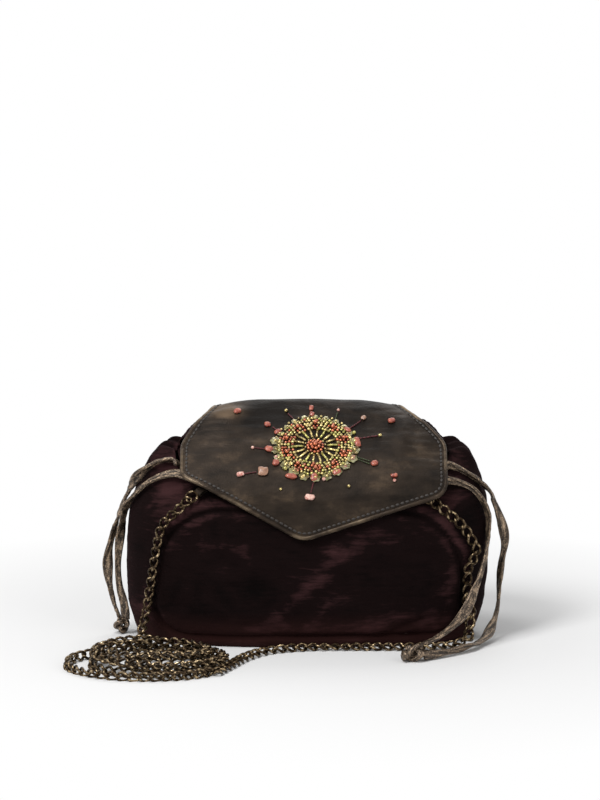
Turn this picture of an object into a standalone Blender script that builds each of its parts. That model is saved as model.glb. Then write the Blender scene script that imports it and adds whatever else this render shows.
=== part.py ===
"""Velvet drawstring pouch with a leather flap, a beaded sunburst and a chain strap.

The pouch stands on its flat base at the origin. +Z is up, the front faces -Y and +X is its right.
"""

import math
from dataclasses import dataclass

import bmesh
import bpy
from mathutils import Vector

MM = 0.001

# Pouch shell
HALF_WIDTH = 108.5 * MM
FRONT_DEPTH = 42.0 * MM
BACK_DEPTH = 41.0 * MM
SIDE_HEIGHT = 109.0 * MM
FRONT_DIP = 18.0 * MM
BACK_RISE = 17.0 * MM
LEAN_TO_RIGHT = 4.0 * MM
VELVET_WALL = 2.0 * MM
LINING_WALL = 0.9 * MM
LINING_GAP = 1.0 * MM
SQUARENESS = 2.6
GATHERS = 10
GATHER_DEPTH = 3.2 * MM
AROUND = 4 * GATHERS
SEAM_GAP = 0.3 * MM

# Oval panels sewn into the front and the back
PANEL_LEFT = 92.0 * MM
PANEL_RIGHT = 95.0 * MM
PANEL_BOTTOM = 7.0 * MM
PANEL_TOP = 84.0 * MM
PANEL_TOP_RADIUS = 44.0 * MM
PANEL_BOTTOM_RADIUS = 20.0 * MM

# Drawstring casing around the mouth
CASING_HEIGHT = 12.0 * MM
CASING_THICKNESS = 6.0 * MM
CASING_WALL = 0.8 * MM
CASING_STEPS = 15
CASING_LEAN = math.radians(38.0)
CASING_SIDE_LEAN = math.radians(60.0)
CASING_EXIT_ANGLE = math.radians(14.0)
CASING_GATHERS = 10
CASING_RIPPLE = 0.8 * MM
CASING_SEAT = 0.9 * MM
FIT = 0.3 * MM

# Drawstrings
HIDDEN_STRING_RADIUS = 0.7 * MM
STRING_SPREAD = 1.1 * MM
RIBBON_RADIUS = 3.0 * MM
KNOT_LENGTH = 11.0 * MM
KNOT_RADIUS = 4.9 * MM
RIBBON_STANDOFF = 3.5 * MM
RIBBON_SPACING = 16.0 * MM
LEFT_KNOT = (-112.5, 1.0, 5.0)
RIGHT_KNOT = (65.0, -76.3, 5.2)

# Leather flap, measured flat from the hinge line down to the tip
FLAP_LEFT = 76.0 * MM
FLAP_RIGHT = 86.0 * MM
FLAP_HINGE_LEFT = 52.0 * MM
FLAP_HINGE_RIGHT = 52.0 * MM
FLAP_SHOULDER = 46.0 * MM
FLAP_LEFT_CORNER = 74.0 * MM
FLAP_RIGHT_CORNER = 87.0 * MM
FLAP_TIP_X = -2.0 * MM
FLAP_TIP_HEIGHT = 66.0 * MM
CORNER_RADIUS = 12.0 * MM
SHOULDER_RADIUS = 16.0 * MM
TIP_RADIUS = 16.0 * MM
LEATHER = 1.4 * MM
FLAP_LINING = 0.8 * MM
LINING_MARGIN = 6.5 * MM
LAYER_GAP = 0.8 * MM
PIPING_RADIUS = 1.3 * MM
FLAP_REST_GAP = 1.2 * MM
CREST_RUN = 13.0 * MM
CREST_RISE = 2.2 * MM
HINGE_OFFSET = 2.0 * MM
HINGE_RELIEF = 1.7 * MM
HINGE_LIFT = 3.2 * MM
SLOPE_BOW = 1.2 * MM
MIDLINE_STEP = 3.0 * MM
FLAP_COLUMNS = 8
FLAP_ROW_SHARES = (0.035, 0.07, 0.115, 0.20, 0.31, 0.42, 0.53, 0.64, 0.75, 0.85, 0.93)
PIPING_START = 3.0 * MM
PIPING_SPACING = 6.5 * MM
ANCHOR_LEVEL = 6.3
WRAP_START = 50.0 * MM
WRAP_RATE = 4.0
ANCHOR_SINK = 1.0 * MM

# Beaded sunburst
SUN_X = 6.0 * MM
SUN_DOWN = 50.0 * MM
STONES = 18
STONE_RADIUS = 2.4 * MM
RAYS = 14
RAY_INNER = 5.6 * MM
RAY_OUTER = 11.6 * MM
RAY_THICKNESS = 1.5 * MM
SEED_RADIUS = 1.5 * MM
CENTRE_RADIUS = 4.6 * MM
CENTRE_HEIGHT = 3.2 * MM
CENTRE_BEADS = 6

# Chain strap
LINK_PITCH = 6.6 * MM
LINK_HALF_LENGTH = 3.9 * MM
LINK_HALF_WIDTH = 2.4 * MM
WIRE_RADIUS = 0.75 * MM
LINK_TURN = math.radians(42.0)
CHAIN_STANDOFF = 3.6 * MM
CHAIN_END_STANDOFF = 2.4 * MM
HEAP_CENTRE_X = -96.0 * MM
HEAP_CENTRE_Y = -92.0 * MM
HEAP_HALF_WIDTH = 54.0 * MM
HEAP_HALF_DEPTH = 40.0 * MM
HEAP_LAYER = 3.8 * MM
HEAP_TOP_INSET = 6.5 * MM
HEAP_TOP_COIL = 17.0 * MM
HEAP_FLOOR_COIL = 23.5 * MM
CHAIN_BREAK = 1.2 * MM
HEAP_TURNS = 2.667
HEAP_TOP_TURNS = 0.9
END_RING_HALF_LENGTH = 4.0 * MM
END_RING_HALF_WIDTH = 6.0 * MM
TAB_WIDTH = 4.2 * MM
TAB_LENGTH = 9.0 * MM
TAB_LEATHER = 0.8 * MM
LEFT_TAB_SINK = 1.9 * MM
RIGHT_TAB_SINK = 4.4 * MM
CHAIN_HALF_WIDTH = 2.6 * MM
CHAIN_HALF_HEIGHT = 1.7 * MM


@dataclass(frozen=True)
class Station:
    """One level of the pouch shell; every value is a share of a named size."""

    height: float
    width: float
    depth: float
    lean: float
    dip: float
    rise: float
    gather: float


# Ribbon ends: first over the shoulder (level, degrees), then free points in millimetres
RIBBON_ROUTES = (
    ("drawstring_left_outer_end", ((7.6, -172.0), (7.0, -170.0), (6.0, -173.0), (5.2, 178.0)),
     ((-112.5, 3.0, 78.0), (-117.0, 4.0, 64.0), (-120.5, 5.0, 50.0), (-121.0, 5.0, 38.0),
      (-119.5, 5.0, 27.0), (-117.0, 4.0, 17.0), (-114.0, 3.0, 9.6))),
    ("drawstring_left_inner_end", ((7.4, -158.0), (6.7, -159.0), (5.7, -163.0), (4.9, -172.0)),
     ((-112.0, -4.0, 68.0), (-113.8, -4.5, 55.0), (-114.5, -4.5, 42.0), (-113.5, -4.5, 30.0),
      (-111.0, -4.0, 20.0), (-110.0, -2.0, 10.0))),
    ("drawstring_right_outer_end", ((7.6, -14.0), (6.9, -16.0), (5.9, -13.0), (5.3, -6.0)),
     ((114.5, 0.0, 84.0), (119.0, 1.0, 72.0), (122.0, 2.0, 58.0), (120.0, 2.0, 44.0), (118.6, 0.0, 30.0),
      (117.5, -6.0, 18.0), (113.5, -18.0, 8.0), (107.0, -35.0, 3.6), (96.0, -54.0, 3.3),
      (83.0, -67.0, 3.3), (70.4, -75.0, 3.4))),
    ("drawstring_right_inner_end", ((7.2, -28.0), (6.3, -26.0), (5.5, -22.0), (4.8, -17.0)),
     ((111.0, -17.0, 66.0), (109.5, -22.0, 54.0), (106.0, -30.0, 43.0), (101.5, -38.0, 33.0),
      (96.5, -46.0, 24.0), (89.0, -56.0, 17.5), (79.0, -67.0, 12.5), (70.4, -74.0, 10.2))),
)
LEFT_FALL = ((5.8, -131.0), (5.25, -132.0), (4.65, -138.0), (4.1, -140.0), (3.6, -142.0),
             (3.05, -145.0))
LEFT_LANDING = ((-96.5, -38.0, 21.0), (-98.5, -46.0, 13.0), (-98.0, -53.2, 8.6))
RIGHT_FALL = ((5.8, -49.5), (5.05, -45.0), (4.6, -38.0), (4.2, -32.0), (3.95, -29.0),
              (3.65, -34.0), (3.25, -34.0), (2.35, -31.0))
FRONT_RUN = ((-44.0, -94.0, 2.0), (-36.0, -75.0, 2.0), (-22.0, -57.0, 2.0), (0.0, -48.5, 2.0), (25.0, -47.0, 2.0),
             (50.0, -47.0, 2.0), (75.0, -45.5, 2.0), (90.0, -41.0, 2.2), (98.0, -36.0, 5.0))

# Stones around the sunburst: x and distance down the flap, length and width in mm, turn in degrees
STONE_PLACES = (
    ("chip_top_left", -31.0, 20.0, 4.4, 3.2, 20.0, "coral_chip"),
    ("chip_top", 4.0, 20.0, 3.8, 2.6, 80.0, "coral_chip"),
    ("chip_top_right", 30.0, 27.0, 3.6, 2.8, 40.0, "coral_chip"),
    ("chip_right", 50.0, 30.0, 4.6, 3.2, 10.0, "coral_chip"),
    ("chip_low_right", 42.0, 72.0, 5.0, 3.0, 55.0, "coral_chip"),
    ("stone_low_left", -25.5, 79.0, 6.0, 5.0, 0.0, "olive_stone"),
    ("chip_low_left", -38.0, 80.0, 4.0, 3.0, 25.0, "coral_chip"),
    ("chip_left", -30.0, 62.0, 3.0, 3.0, 0.0, "coral_chip"),
    ("chip_below", -8.0, 82.0, 4.6, 3.4, 5.0, "copper_bead"),
    ("chip_low", 5.0, 84.0, 4.4, 2.8, 70.0, "coral_chip"),
    ("chip_tip", 3.0, 95.0, 3.8, 3.6, 0.0, "coral_chip"),
    ("bead_right", 47.0, 82.0, 3.0, 3.0, 0.0, "copper_bead"),
)
STONE_HEIGHT = 1.6 * MM

STATIONS = (
    Station(0.000, 0.850, 0.930, 0.00, 0.00, 0.00, 0.0),
    Station(0.030, 0.905, 0.9650, 0.00, 0.00, 0.00, 0.0),
    Station(0.106, 0.955, 0.9850, 0.00, 0.00, 0.00, 0.0),
    Station(0.265, 0.988, 1.0, 0.20, 0.00, 0.00, 0.0),
    Station(0.530, 1.000, 1.000, 0.38, 0.00, 0.00, 0.0),
    Station(0.768, 0.977, 0.960, 0.62, 0.26, 0.15, 0.20),
    Station(0.884, 0.926, 0.905, 0.85, 0.58, 0.45, 0.50),
    Station(0.952, 0.852, 0.835, 1.00, 0.84, 0.73, 0.85),
    Station(1.000, 0.756, 0.760, 1.00, 1.00, 1.00, 1.0),
)
MOUTH = len(STATIONS) - 1.0

# Colours are linear; each row is colour, roughness, metallic
FINISHES = {
    "velvet": ((0.020, 0.008, 0.009), 0.95, 0.0),
    "velvet_trim": ((0.035, 0.012, 0.013), 0.95, 0.0),
    "satin_lining": ((0.030, 0.016, 0.014), 0.55, 0.0),
    "leather": ((0.035, 0.028, 0.022), 0.42, 0.0),
    "ribbon": ((0.120, 0.080, 0.060), 0.45, 0.2),
    "antique_brass": ((0.240, 0.160, 0.070), 0.38, 1.0),
    "copper_bead": ((0.450, 0.130, 0.040), 0.25, 0.3),
    "gold_bead": ((0.420, 0.300, 0.080), 0.25, 0.6),
    "olive_stone": ((0.300, 0.280, 0.080), 0.20, 0.3),
    "coral_chip": ((0.450, 0.120, 0.080), 0.30, 0.0),
}


def clear_scene():
    """Remove whatever the start-up scene holds."""
    for old in list(bpy.data.objects):
        bpy.data.objects.remove(old, do_unlink=True)


def collection(name):
    """Make a named collection in the scene."""
    group = bpy.data.collections.new(name)
    bpy.context.scene.collection.children.link(group)
    return group


def material(name):
    """Return the Principled material for a finish, made on first use."""
    if name in bpy.data.materials:
        return bpy.data.materials[name]
    colour, roughness, metallic = FINISHES[name]
    made = bpy.data.materials.new(name)
    made.use_nodes = True
    shader = made.node_tree.nodes["Principled BSDF"]
    shader.inputs["Base Color"].default_value = (*colour, 1.0)
    shader.inputs["Roughness"].default_value = roughness
    shader.inputs["Metallic"].default_value = metallic
    return made


def add_object(name, mesh, finish, group, parent=None):
    """Put a mesh in the scene as a named piece with its finish."""
    piece = bpy.data.objects.new(name, mesh)
    if finish:
        mesh.materials.append(material(finish))
    group.objects.link(piece)
    if parent:
        piece.parent = parent
        piece.matrix_parent_inverse = parent.matrix_world.inverted()
    return piece


def mesh_from(bm, name):
    """Finish a bmesh as mesh data with faces pointing out and smooth shading."""
    bm.normal_update()
    bmesh.ops.recalc_face_normals(bm, faces=bm.faces)
    mesh = bpy.data.meshes.new(name)
    bm.to_mesh(mesh)
    bm.free()
    mesh.shade_smooth()
    mesh.set_sharp_from_angle(angle=math.radians(40.0))
    return mesh


def smooth_value(values, t):
    """Read a smooth curve (Catmull-Rom) through evenly spaced values."""
    last = len(values) - 1
    t = min(max(t, 0.0), float(last))
    i = min(int(t), last - 1)
    u = t - i
    a = values[max(i - 1, 0)]
    b = values[i]
    c = values[i + 1]
    d = values[min(i + 2, last)]
    return b + 0.5 * u * (c - a + u * (2 * a - 5 * b + 4 * c - d + u * (3 * (b - c) + d - a)))


def smooth_path(points, spacing):
    """Evenly spaced points on a smooth curve through the route's own points."""
    dense = []
    for i in range(40 * (len(points) - 1) + 1):
        t = i / 40.0
        dense.append(Vector([smooth_value([p[k] for p in points], t) for k in range(3)]))
    return resample(dense, spacing)


def resample(dense, spacing):
    """Space points evenly along a dense polyline; the ends are kept."""
    lengths = [0.0]
    for a, b in zip(dense, dense[1:]):
        lengths.append(lengths[-1] + (b - a).length)
    count = max(2, round(lengths[-1] / spacing))
    result = []
    k = 0
    for i in range(count + 1):
        target = lengths[-1] * i / count
        while k < len(lengths) - 2 and lengths[k + 1] < target:
            k += 1
        span = lengths[k + 1] - lengths[k]
        share = 0.0 if span == 0.0 else (target - lengths[k]) / span
        result.append(dense[k].lerp(dense[k + 1], share))
    return result


def shell_point(t, angle, inset=0.0, pleated=True):
    """Point on the pouch's outer surface at level t and at an angle around it (+X is 0)."""
    height = smooth_value([s.height for s in STATIONS], t) * SIDE_HEIGHT
    width = smooth_value([s.width for s in STATIONS], t) * HALF_WIDTH - inset
    depth = smooth_value([s.depth for s in STATIONS], t)
    lean = smooth_value([s.lean for s in STATIONS], t) * LEAN_TO_RIGHT
    c = math.cos(angle)
    s = math.sin(angle)
    front = s < 0.0
    middle = 1.0 - (1.0 - s * s) ** 2
    reach = depth * (FRONT_DEPTH if front else BACK_DEPTH) - inset
    if pleated:
        pleat = smooth_value([k.gather for k in STATIONS], t) * GATHER_DEPTH
        pleat *= 0.5 - 0.5 * math.cos(GATHERS * angle)
        width -= pleat
        reach -= pleat
    x = lean + width * math.copysign(abs(c) ** (2.0 / SQUARENESS), c)
    y = reach * math.copysign(abs(s) ** (2.0 / SQUARENESS), s)
    if front:
        height -= smooth_value([k.dip for k in STATIONS], t) * FRONT_DIP * middle
    else:
        height += smooth_value([k.rise for k in STATIONS], t) * BACK_RISE * middle
    return Vector((x, y, height))


def shell_normal(t, angle):
    """Outward direction of the unpleated shell at a level and angle."""
    step = 0.02
    along = shell_point(t, angle + step, 0.0, False) - shell_point(t, angle - step, 0.0, False)
    up = shell_point(t + step, angle, 0.0, False) - shell_point(t - step, angle, 0.0, False)
    return along.cross(up).normalized()


def on_shell(t, angle, standoff):
    """Point held off the shell's surface by a distance."""
    return shell_point(t, angle, 0.0, False) + shell_normal(t, angle) * standoff


def front_centre_y(height):
    """How far forward the middle of the front reaches at a height."""
    t = 0.0
    while t < MOUTH and shell_point(t, -math.pi / 2.0, 0.0, False).z < height:
        t += 0.02
    return shell_point(t, -math.pi / 2.0, 0.0, False).y


def skin(bm, rings, closed=True):
    """Bridge neighbouring rings of vertices with quads."""
    count = len(rings[0])
    spans = count if closed else count - 1
    for low, high in zip(rings, rings[1:]):
        for k in range(spans):
            n = (k + 1) % count
            bm.faces.new((low[k], low[n], high[n], high[k]))


def solidify(piece, thickness, offset, even=True):
    """Give an open surface a wall; tightly gathered sheets keep it uneven at their folds."""
    wall = piece.modifiers.new("wall", "SOLIDIFY")
    wall.thickness = thickness
    wall.offset = offset
    wall.use_even_offset = even


def cup(name, levels, columns, place, finish, group):
    """Loft an open-topped cup from its flat bottom up; place gives a point for a level and angle."""
    bm = bmesh.new()
    rings = []
    for t in levels:
        rings.append([bm.verts.new(place(t, 2.0 * math.pi * k / columns)) for k in range(columns)])
    skin(bm, rings)
    bm.faces.new(rings[0])
    return add_object(name, mesh_from(bm, name), finish, group)


def lining_point(t, angle):
    """Point on the lining's outer face, inside the deepest of the pleats."""
    pleat = GATHER_DEPTH * smooth_value([s.gather for s in STATIONS], t)
    point = on_shell(t, angle, -VELVET_WALL - LINING_GAP - pleat)
    point.z += (VELVET_WALL + FIT) * max(0.0, 1.0 - t / 3.0)
    return point


def rounded_outline(corners, radii, step=math.radians(22.4)):
    """Flat outline through corners, each rounded by its own radius with an arc."""
    outline = []
    count = len(corners)
    for i in range(count):
        here = Vector(corners[i])
        before = (Vector(corners[i - 1]) - here).normalized()
        after = (Vector(corners[(i + 1) % count]) - here).normalized()
        radius = radii[i]
        if radius == 0.0:
            outline.append(here)
            continue
        half = 0.5 * math.acos(max(-1.0, min(1.0, before.dot(after))))
        centre = here + (before + after).normalized() * (radius / math.sin(half))
        first = here + before * (radius / math.tan(half)) - centre
        last = here + after * (radius / math.tan(half)) - centre
        sweep = math.atan2(first.x * last.y - first.y * last.x, first.dot(last))
        steps = max(1, round(abs(sweep) / step))
        for k in range(steps + 1):
            turn = sweep * k / steps
            c = math.cos(turn)
            s = math.sin(turn)
            outline.append(centre + Vector((first.x * c - first.y * s, first.x * s + first.y * c)))
    return outline


def panel_outline(grow):
    """Outline of the front or back panel in X and Z, grown or shrunk by a distance."""
    left = -PANEL_LEFT - grow
    right = PANEL_RIGHT + grow
    low = PANEL_BOTTOM - grow
    high = PANEL_TOP + grow
    corners = [(left, low), (right, low), (right, high), (left, high)]
    radii = [PANEL_BOTTOM_RADIUS + grow, PANEL_BOTTOM_RADIUS + grow,
             PANEL_TOP_RADIUS + grow, PANEL_TOP_RADIUS + grow]
    return rounded_outline(corners, radii)


def panel_cutter(name, grow, side, group):
    """Prism through the front (side -1) or the back (side 1) in the panel's outline."""
    near = side * FRONT_DEPTH * 0.25
    far = side * FRONT_DEPTH * 1.6
    bm = bmesh.new()
    face = bm.faces.new([bm.verts.new((p.x, near, p.y)) for p in panel_outline(grow)])
    moved = bmesh.ops.extrude_face_region(bm, geom=[face])["geom"]
    verts = [g for g in moved if isinstance(g, bmesh.types.BMVert)]
    bmesh.ops.translate(bm, verts=verts, vec=(0.0, far - near, 0.0))
    cutter = add_object(name, mesh_from(bm, name), None, group)
    cutter.hide_render = True
    cutter.display_type = "WIRE"
    return cutter


def boolean(piece, cutter, operation):
    """Add an exact Boolean to a piece."""
    cut = piece.modifiers.new(cutter.name, "BOOLEAN")
    cut.operation = operation
    cut.object = cutter
    cut.solver = "EXACT"


def velvet_shell(group, cutters):
    """Gusset ring with its gathered yoke, and the two oval panels sewn into it."""
    levels = [float(t) for t in range(len(STATIONS))]
    gusset = cup("velvet_gusset", levels, AROUND, shell_point, "velvet", group)
    solidify(gusset, VELVET_WALL, -1.0)
    for name, side in (("velvet_front_panel", -1), ("velvet_back_panel", 1)):
        panel = add_object(name, gusset.data.copy(), None, group)
        solidify(panel, VELVET_WALL, -1.0)
        boolean(panel, panel_cutter(name + "_cutter", -0.5 * SEAM_GAP, side, cutters), "INTERSECT")
        boolean(gusset, panel_cutter(name + "_window", 0.5 * SEAM_GAP, side, cutters), "DIFFERENCE")


def lining_bag(group):
    """Satin bag inside the velvet, open at the mouth."""
    levels = [0.0, 1.0, 3.0, 4.5, 6.0, 7.0, MOUTH - 0.2]
    bag = cup("satin_lining_bag", levels, AROUND // 2, lining_point, "satin_lining", group)
    solidify(bag, LINING_WALL, -1.0)


def casing_axes(angle):
    """Middle of the casing, its height direction and its thickness direction at an angle."""
    seat = shell_point(MOUTH, angle, 0.5 * VELVET_WALL, False)
    out = shell_normal(0.5 * MOUTH, angle)
    out.z = 0.0
    out.normalize()
    side = abs(math.cos(angle)) ** 2
    lean = CASING_LEAN + (CASING_SIDE_LEAN - CASING_LEAN) * side
    up = Vector((0.0, 0.0, math.cos(lean))) - out * math.sin(lean)
    across = out * math.cos(lean) + Vector((0.0, 0.0, math.sin(lean)))
    middle = seat + up * (0.5 * CASING_HEIGHT + 0.5 * VELVET_WALL + CASING_SEAT)
    return middle, up, across


def casing_ripple(angle):
    """How far the gathers push the casing outwards at an angle."""
    return CASING_RIPPLE * math.cos(CASING_GATHERS * angle)


def casing_angles(start):
    """Angles along half of the casing, from one exit to the other."""
    half = 0.5 * CASING_EXIT_ANGLE
    return [start + half + (math.pi - 2.0 * half) * k / CASING_STEPS for k in range(CASING_STEPS + 1)]


def casing_half(name, start, group):
    """Half of the tunnel for the strings: a gathered flat tube, open at both ends."""
    bm = bmesh.new()
    rings = []
    for angle in casing_angles(start):
        middle, up, across = casing_axes(angle)
        ring = []
        for step in range(6):
            turn = math.pi * (step + 0.5) / 3.0
            tall = 0.5 * CASING_HEIGHT * math.sin(turn)
            thick = 0.5 * CASING_THICKNESS * math.cos(turn) / math.cos(math.pi / 6.0)
            ring.append(bm.verts.new(middle + up * tall + across * (thick + casing_ripple(angle))))
        rings.append(ring)
    skin(bm, rings)
    piece = add_object(name, mesh_from(bm, name), "velvet_trim", group)
    solidify(piece, CASING_WALL, -1.0, False)


def tube(name, points, radius, finish, group, parent=None, resolution=2):
    """Round tube along points, with filled caps."""
    data = bpy.data.curves.new(name, "CURVE")
    data.dimensions = "3D"
    data.bevel_depth = radius
    data.bevel_resolution = resolution
    data.use_fill_caps = True
    data.resolution_u = 1
    data.render_resolution_u = 0
    spline = data.splines.new("POLY")
    spline.points.add(len(points) - 1)
    for point, place in zip(spline.points, points):
        point.co = (*place, 1.0)
    return add_object(name, data, finish, group, parent)


def drawstrings(group):
    """Two strings in the casing, one leaving at each side, and their four hanging ends with knots."""
    loops = (("drawstring_left_hidden_run", math.pi, -1.0), ("drawstring_right_hidden_run", 0.0, 1.0))
    for name, start, level in loops:
        points = []
        for angle in casing_angles(start) + casing_angles(start + math.pi):
            middle, up, across = casing_axes(angle)
            points.append(middle + up * (level * STRING_SPREAD) + across * casing_ripple(angle))
        tube(name, points[1:-1], HIDDEN_STRING_RADIUS, "ribbon", group, None, 0)
    for name, on_top, free in RIBBON_ROUTES:
        route = [on_shell(t, math.radians(a), RIBBON_STANDOFF) for t, a in on_top]
        route += [Vector(place) * MM for place in free]
        tube(name, smooth_path(route, RIBBON_SPACING), RIBBON_RADIUS, "ribbon", group)
    for name, centre in (("left_knot", LEFT_KNOT), ("right_knot", RIGHT_KNOT)):
        knot(name, Vector(centre) * MM, group)


def knot(name, centre, group):
    """Pulled-tight overhand knot: a round lump with the turns of the ribbon winding over it."""
    bm = bmesh.new()
    bmesh.ops.create_uvsphere(bm, u_segments=8, v_segments=6, radius=1.0)
    for vert in bm.verts:
        turn = math.atan2(vert.co.y, vert.co.x)
        swell = 0.90 + 0.10 * math.cos(2.0 * turn + 3.0 * vert.co.z)
        flat = Vector((vert.co.x * KNOT_LENGTH * 0.5, vert.co.y * KNOT_RADIUS, vert.co.z * KNOT_RADIUS))
        vert.co = centre + flat * swell
    return add_object(name, mesh_from(bm, name), "ribbon", group)


def hinge_point():
    """Where the flap bends at the back of the mouth, in the middle of the seam."""
    middle, up, across = casing_axes(math.pi / 2.0)
    clear = 0.5 * CASING_THICKNESS + CASING_RIPPLE + 0.5 * LEATHER + FIT
    bulge = middle + across * clear
    return Vector((0.0, bulge.y + HINGE_OFFSET, bulge.z + HINGE_LIFT))


def flap_stack():
    """Depth from the flap's mid-line to what it rests on."""
    return 0.5 * LEATHER + LAYER_GAP + FLAP_LINING + FLAP_REST_GAP


def flap_midline():
    """Side view of the flap: over the crest, down the slope and over the front to its tip."""
    hinge = hinge_point()
    middle, up, across = casing_axes(-math.pi / 2.0)
    brow = middle + across * (0.5 * CASING_THICKNESS + CASING_RIPPLE + flap_stack())
    brow.x = 0.0
    crest = hinge + Vector((0.0, -CREST_RUN, CREST_RISE))
    slope = brow - crest
    bow = Vector((0.0, slope.z, -slope.y)).normalized() * SLOPE_BOW
    swell_height = 0.62 * brow.z + 0.38 * FLAP_TIP_HEIGHT
    swell = Vector((0.0, front_centre_y(swell_height) - flap_stack() - FIT, swell_height))
    tip = Vector((0.0, front_centre_y(FLAP_TIP_HEIGHT) - flap_stack() - FIT, FLAP_TIP_HEIGHT))
    knots = [hinge, hinge.lerp(crest, 0.45) + Vector((0.0, 0.0, 0.4 * CREST_RISE)), crest]
    knots += [crest + slope * 0.36 + bow, crest + slope * 0.70 + bow, brow, swell, tip]
    return smooth_path(knots, MIDLINE_STEP)


class FlapForm:
    """The flap's curved surface, read by x and by the distance s down from the hinge line."""

    def __init__(self):
        self.line = flap_midline()
        self.step = sum((b - a).length for a, b in zip(self.line, self.line[1:])) / (len(self.line) - 1)
        self.length = self.step * (len(self.line) - 1)
        corners = [(-FLAP_HINGE_LEFT, 0.0), (-FLAP_LEFT, FLAP_SHOULDER), (-FLAP_LEFT, FLAP_LEFT_CORNER),
                   (FLAP_TIP_X, self.length), (FLAP_RIGHT, FLAP_RIGHT_CORNER),
                   (FLAP_RIGHT, FLAP_SHOULDER), (FLAP_HINGE_RIGHT, 0.0)]
        radii = [0.0, SHOULDER_RADIUS, CORNER_RADIUS, TIP_RADIUS, CORNER_RADIUS, SHOULDER_RADIUS, 0.0]
        self.outline = rounded_outline(corners, radii)

    def point(self, x, s, lift=0.0):
        """Point over the flap at x and s, lifted off its mid-surface."""
        i = min(max(int(s / self.step), 0), len(self.line) - 2)
        here = self.line[i].lerp(self.line[i + 1], s / self.step - i)
        ahead = smooth_tangent(self.line, s / self.step)
        normal = Vector((0.0, ahead.z, -ahead.y))
        reach = max(0.0, abs(x - 0.5 * (FLAP_RIGHT - FLAP_LEFT)) - WRAP_START)
        wrap = WRAP_RATE * reach * reach * ease(s / (2.0 * CREST_RUN))
        wrap *= 1.0 - 0.6 * ease((s - FLAP_SHOULDER) / FLAP_SHOULDER)
        return Vector((x, here.y, here.z)) + normal * (lift - wrap)

    def inset(self, margin):
        """Outline moved inwards by a margin; the hinge ends only move sideways."""
        moved = []
        count = len(self.outline)
        for i, here in enumerate(self.outline):
            if i in (0, count - 1):
                moved.append(here + Vector((margin if i == 0 else -margin, 0.0)))
                continue
            along = (self.outline[i + 1] - self.outline[i - 1]).normalized()
            moved.append(here + Vector((along.y, -along.x)) * margin)
        return moved


def edges(outline, s):
    """Left and right edges of an outline at s."""
    crossings = []
    for a, b in zip(outline, outline[1:] + outline[:1]):
        if (a.y - s) * (b.y - s) <= 0.0 and a.y != b.y:
            crossings.append(a.x + (b.x - a.x) * (s - a.y) / (b.y - a.y))
    return min(crossings), max(crossings)


def ease(u):
    """Smooth step from 0 to 1."""
    u = min(max(u, 0.0), 1.0)
    return u * u * (3.0 - 2.0 * u)


def smooth_tangent(line, place):
    """Direction of a polyline at a fractional index, blended between its points."""
    i = min(max(int(place), 0), len(line) - 2)
    u = place - i
    before = (line[min(i + 1, len(line) - 1)] - line[max(i - 1, 0)]).normalized()
    after = (line[min(i + 2, len(line) - 1)] - line[i]).normalized()
    return before.lerp(after, u).normalized()


def flap_rows(form, start, end):
    """Distances down the flap at which both of its layers have a row of points."""
    middle = [share * form.length for share in FLAP_ROW_SHARES]
    return [start] + [s for s in middle if start + MM < s < end - MM] + [end]


def flap_sheet(name, form, start, margin, lift, thickness, finish, group, parent):
    """One layer of the flap, cut to the outline less a margin."""
    bm = bmesh.new()
    grid = []
    outline = form.inset(margin)
    end = max(p.y for p in outline) - 0.4 * MM
    for s in flap_rows(form, start, end):
        left, right = edges(outline, s)
        row = []
        for k in range(FLAP_COLUMNS + 1):
            x = left + (right - left) * k / FLAP_COLUMNS
            row.append(bm.verts.new(form.point(x, s, lift)))
        grid.append(row)
    skin(bm, grid, False)
    piece = add_object(name, mesh_from(bm, name), finish, group, parent)
    solidify(piece, thickness, 0.0)
    return piece


def leather_flap(form, group, parent):
    """Leather front, its lining and the piped edge round three sides."""
    edge = 2.0 * PIPING_RADIUS + LAYER_GAP
    flap_sheet("flap_leather", form, 0.0, edge, 0.0, LEATHER, "leather", group, parent)
    drop = 0.5 * LEATHER + LAYER_GAP + 0.5 * FLAP_LINING
    flap_sheet("flap_lining", form, FLAP_ROW_SHARES[2] * form.length, edge + LINING_MARGIN, -drop, FLAP_LINING,
               "satin_lining", group, parent)
    flat = form.inset(PIPING_RADIUS)
    start = PIPING_START
    left_end = Vector((edges(flat, start)[0], start))
    right_end = Vector((edges(flat, start)[1], start))
    route = [left_end] + [p for p in flat[1:-1]] + [right_end]
    dense = []
    for a, b in zip(route, route[1:]):
        for k in range(8):
            q = a.lerp(b, k / 8.0)
            dense.append(form.point(q.x, q.y))
    dense.append(form.point(right_end.x, right_end.y))
    tube("flap_piped_edge", resample(dense, PIPING_SPACING), PIPING_RADIUS, "leather", group, parent, 0)


def anchor_strip(group):
    """Leather strip that sews the flap to the back, fixed below the hinge line."""
    lift = 0.5 * LEATHER + FIT
    hinge = hinge_point()
    foot = on_shell(ANCHOR_LEVEL, math.pi / 2.0, lift - ANCHOR_SINK)
    seat = on_shell(MOUTH - 0.4, math.pi / 2.0, lift + HINGE_OFFSET)
    top = hinge - Vector((0.0, HINGE_OFFSET, HINGE_RELIEF))
    bm = bmesh.new()
    rows = []
    for place in (foot, seat, top):
        row = []
        for k in range(7):
            x = -FLAP_HINGE_LEFT + (FLAP_HINGE_LEFT + FLAP_HINGE_RIGHT) * k / 6.0
            row.append(bm.verts.new((x, place.y, place.z)))
        rows.append(row)
    skin(bm, rows, False)
    strip = add_object("flap_anchor_strip", mesh_from(bm, "flap_anchor_strip"), "leather", group)
    solidify(strip, LEATHER, 0.0)


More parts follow.
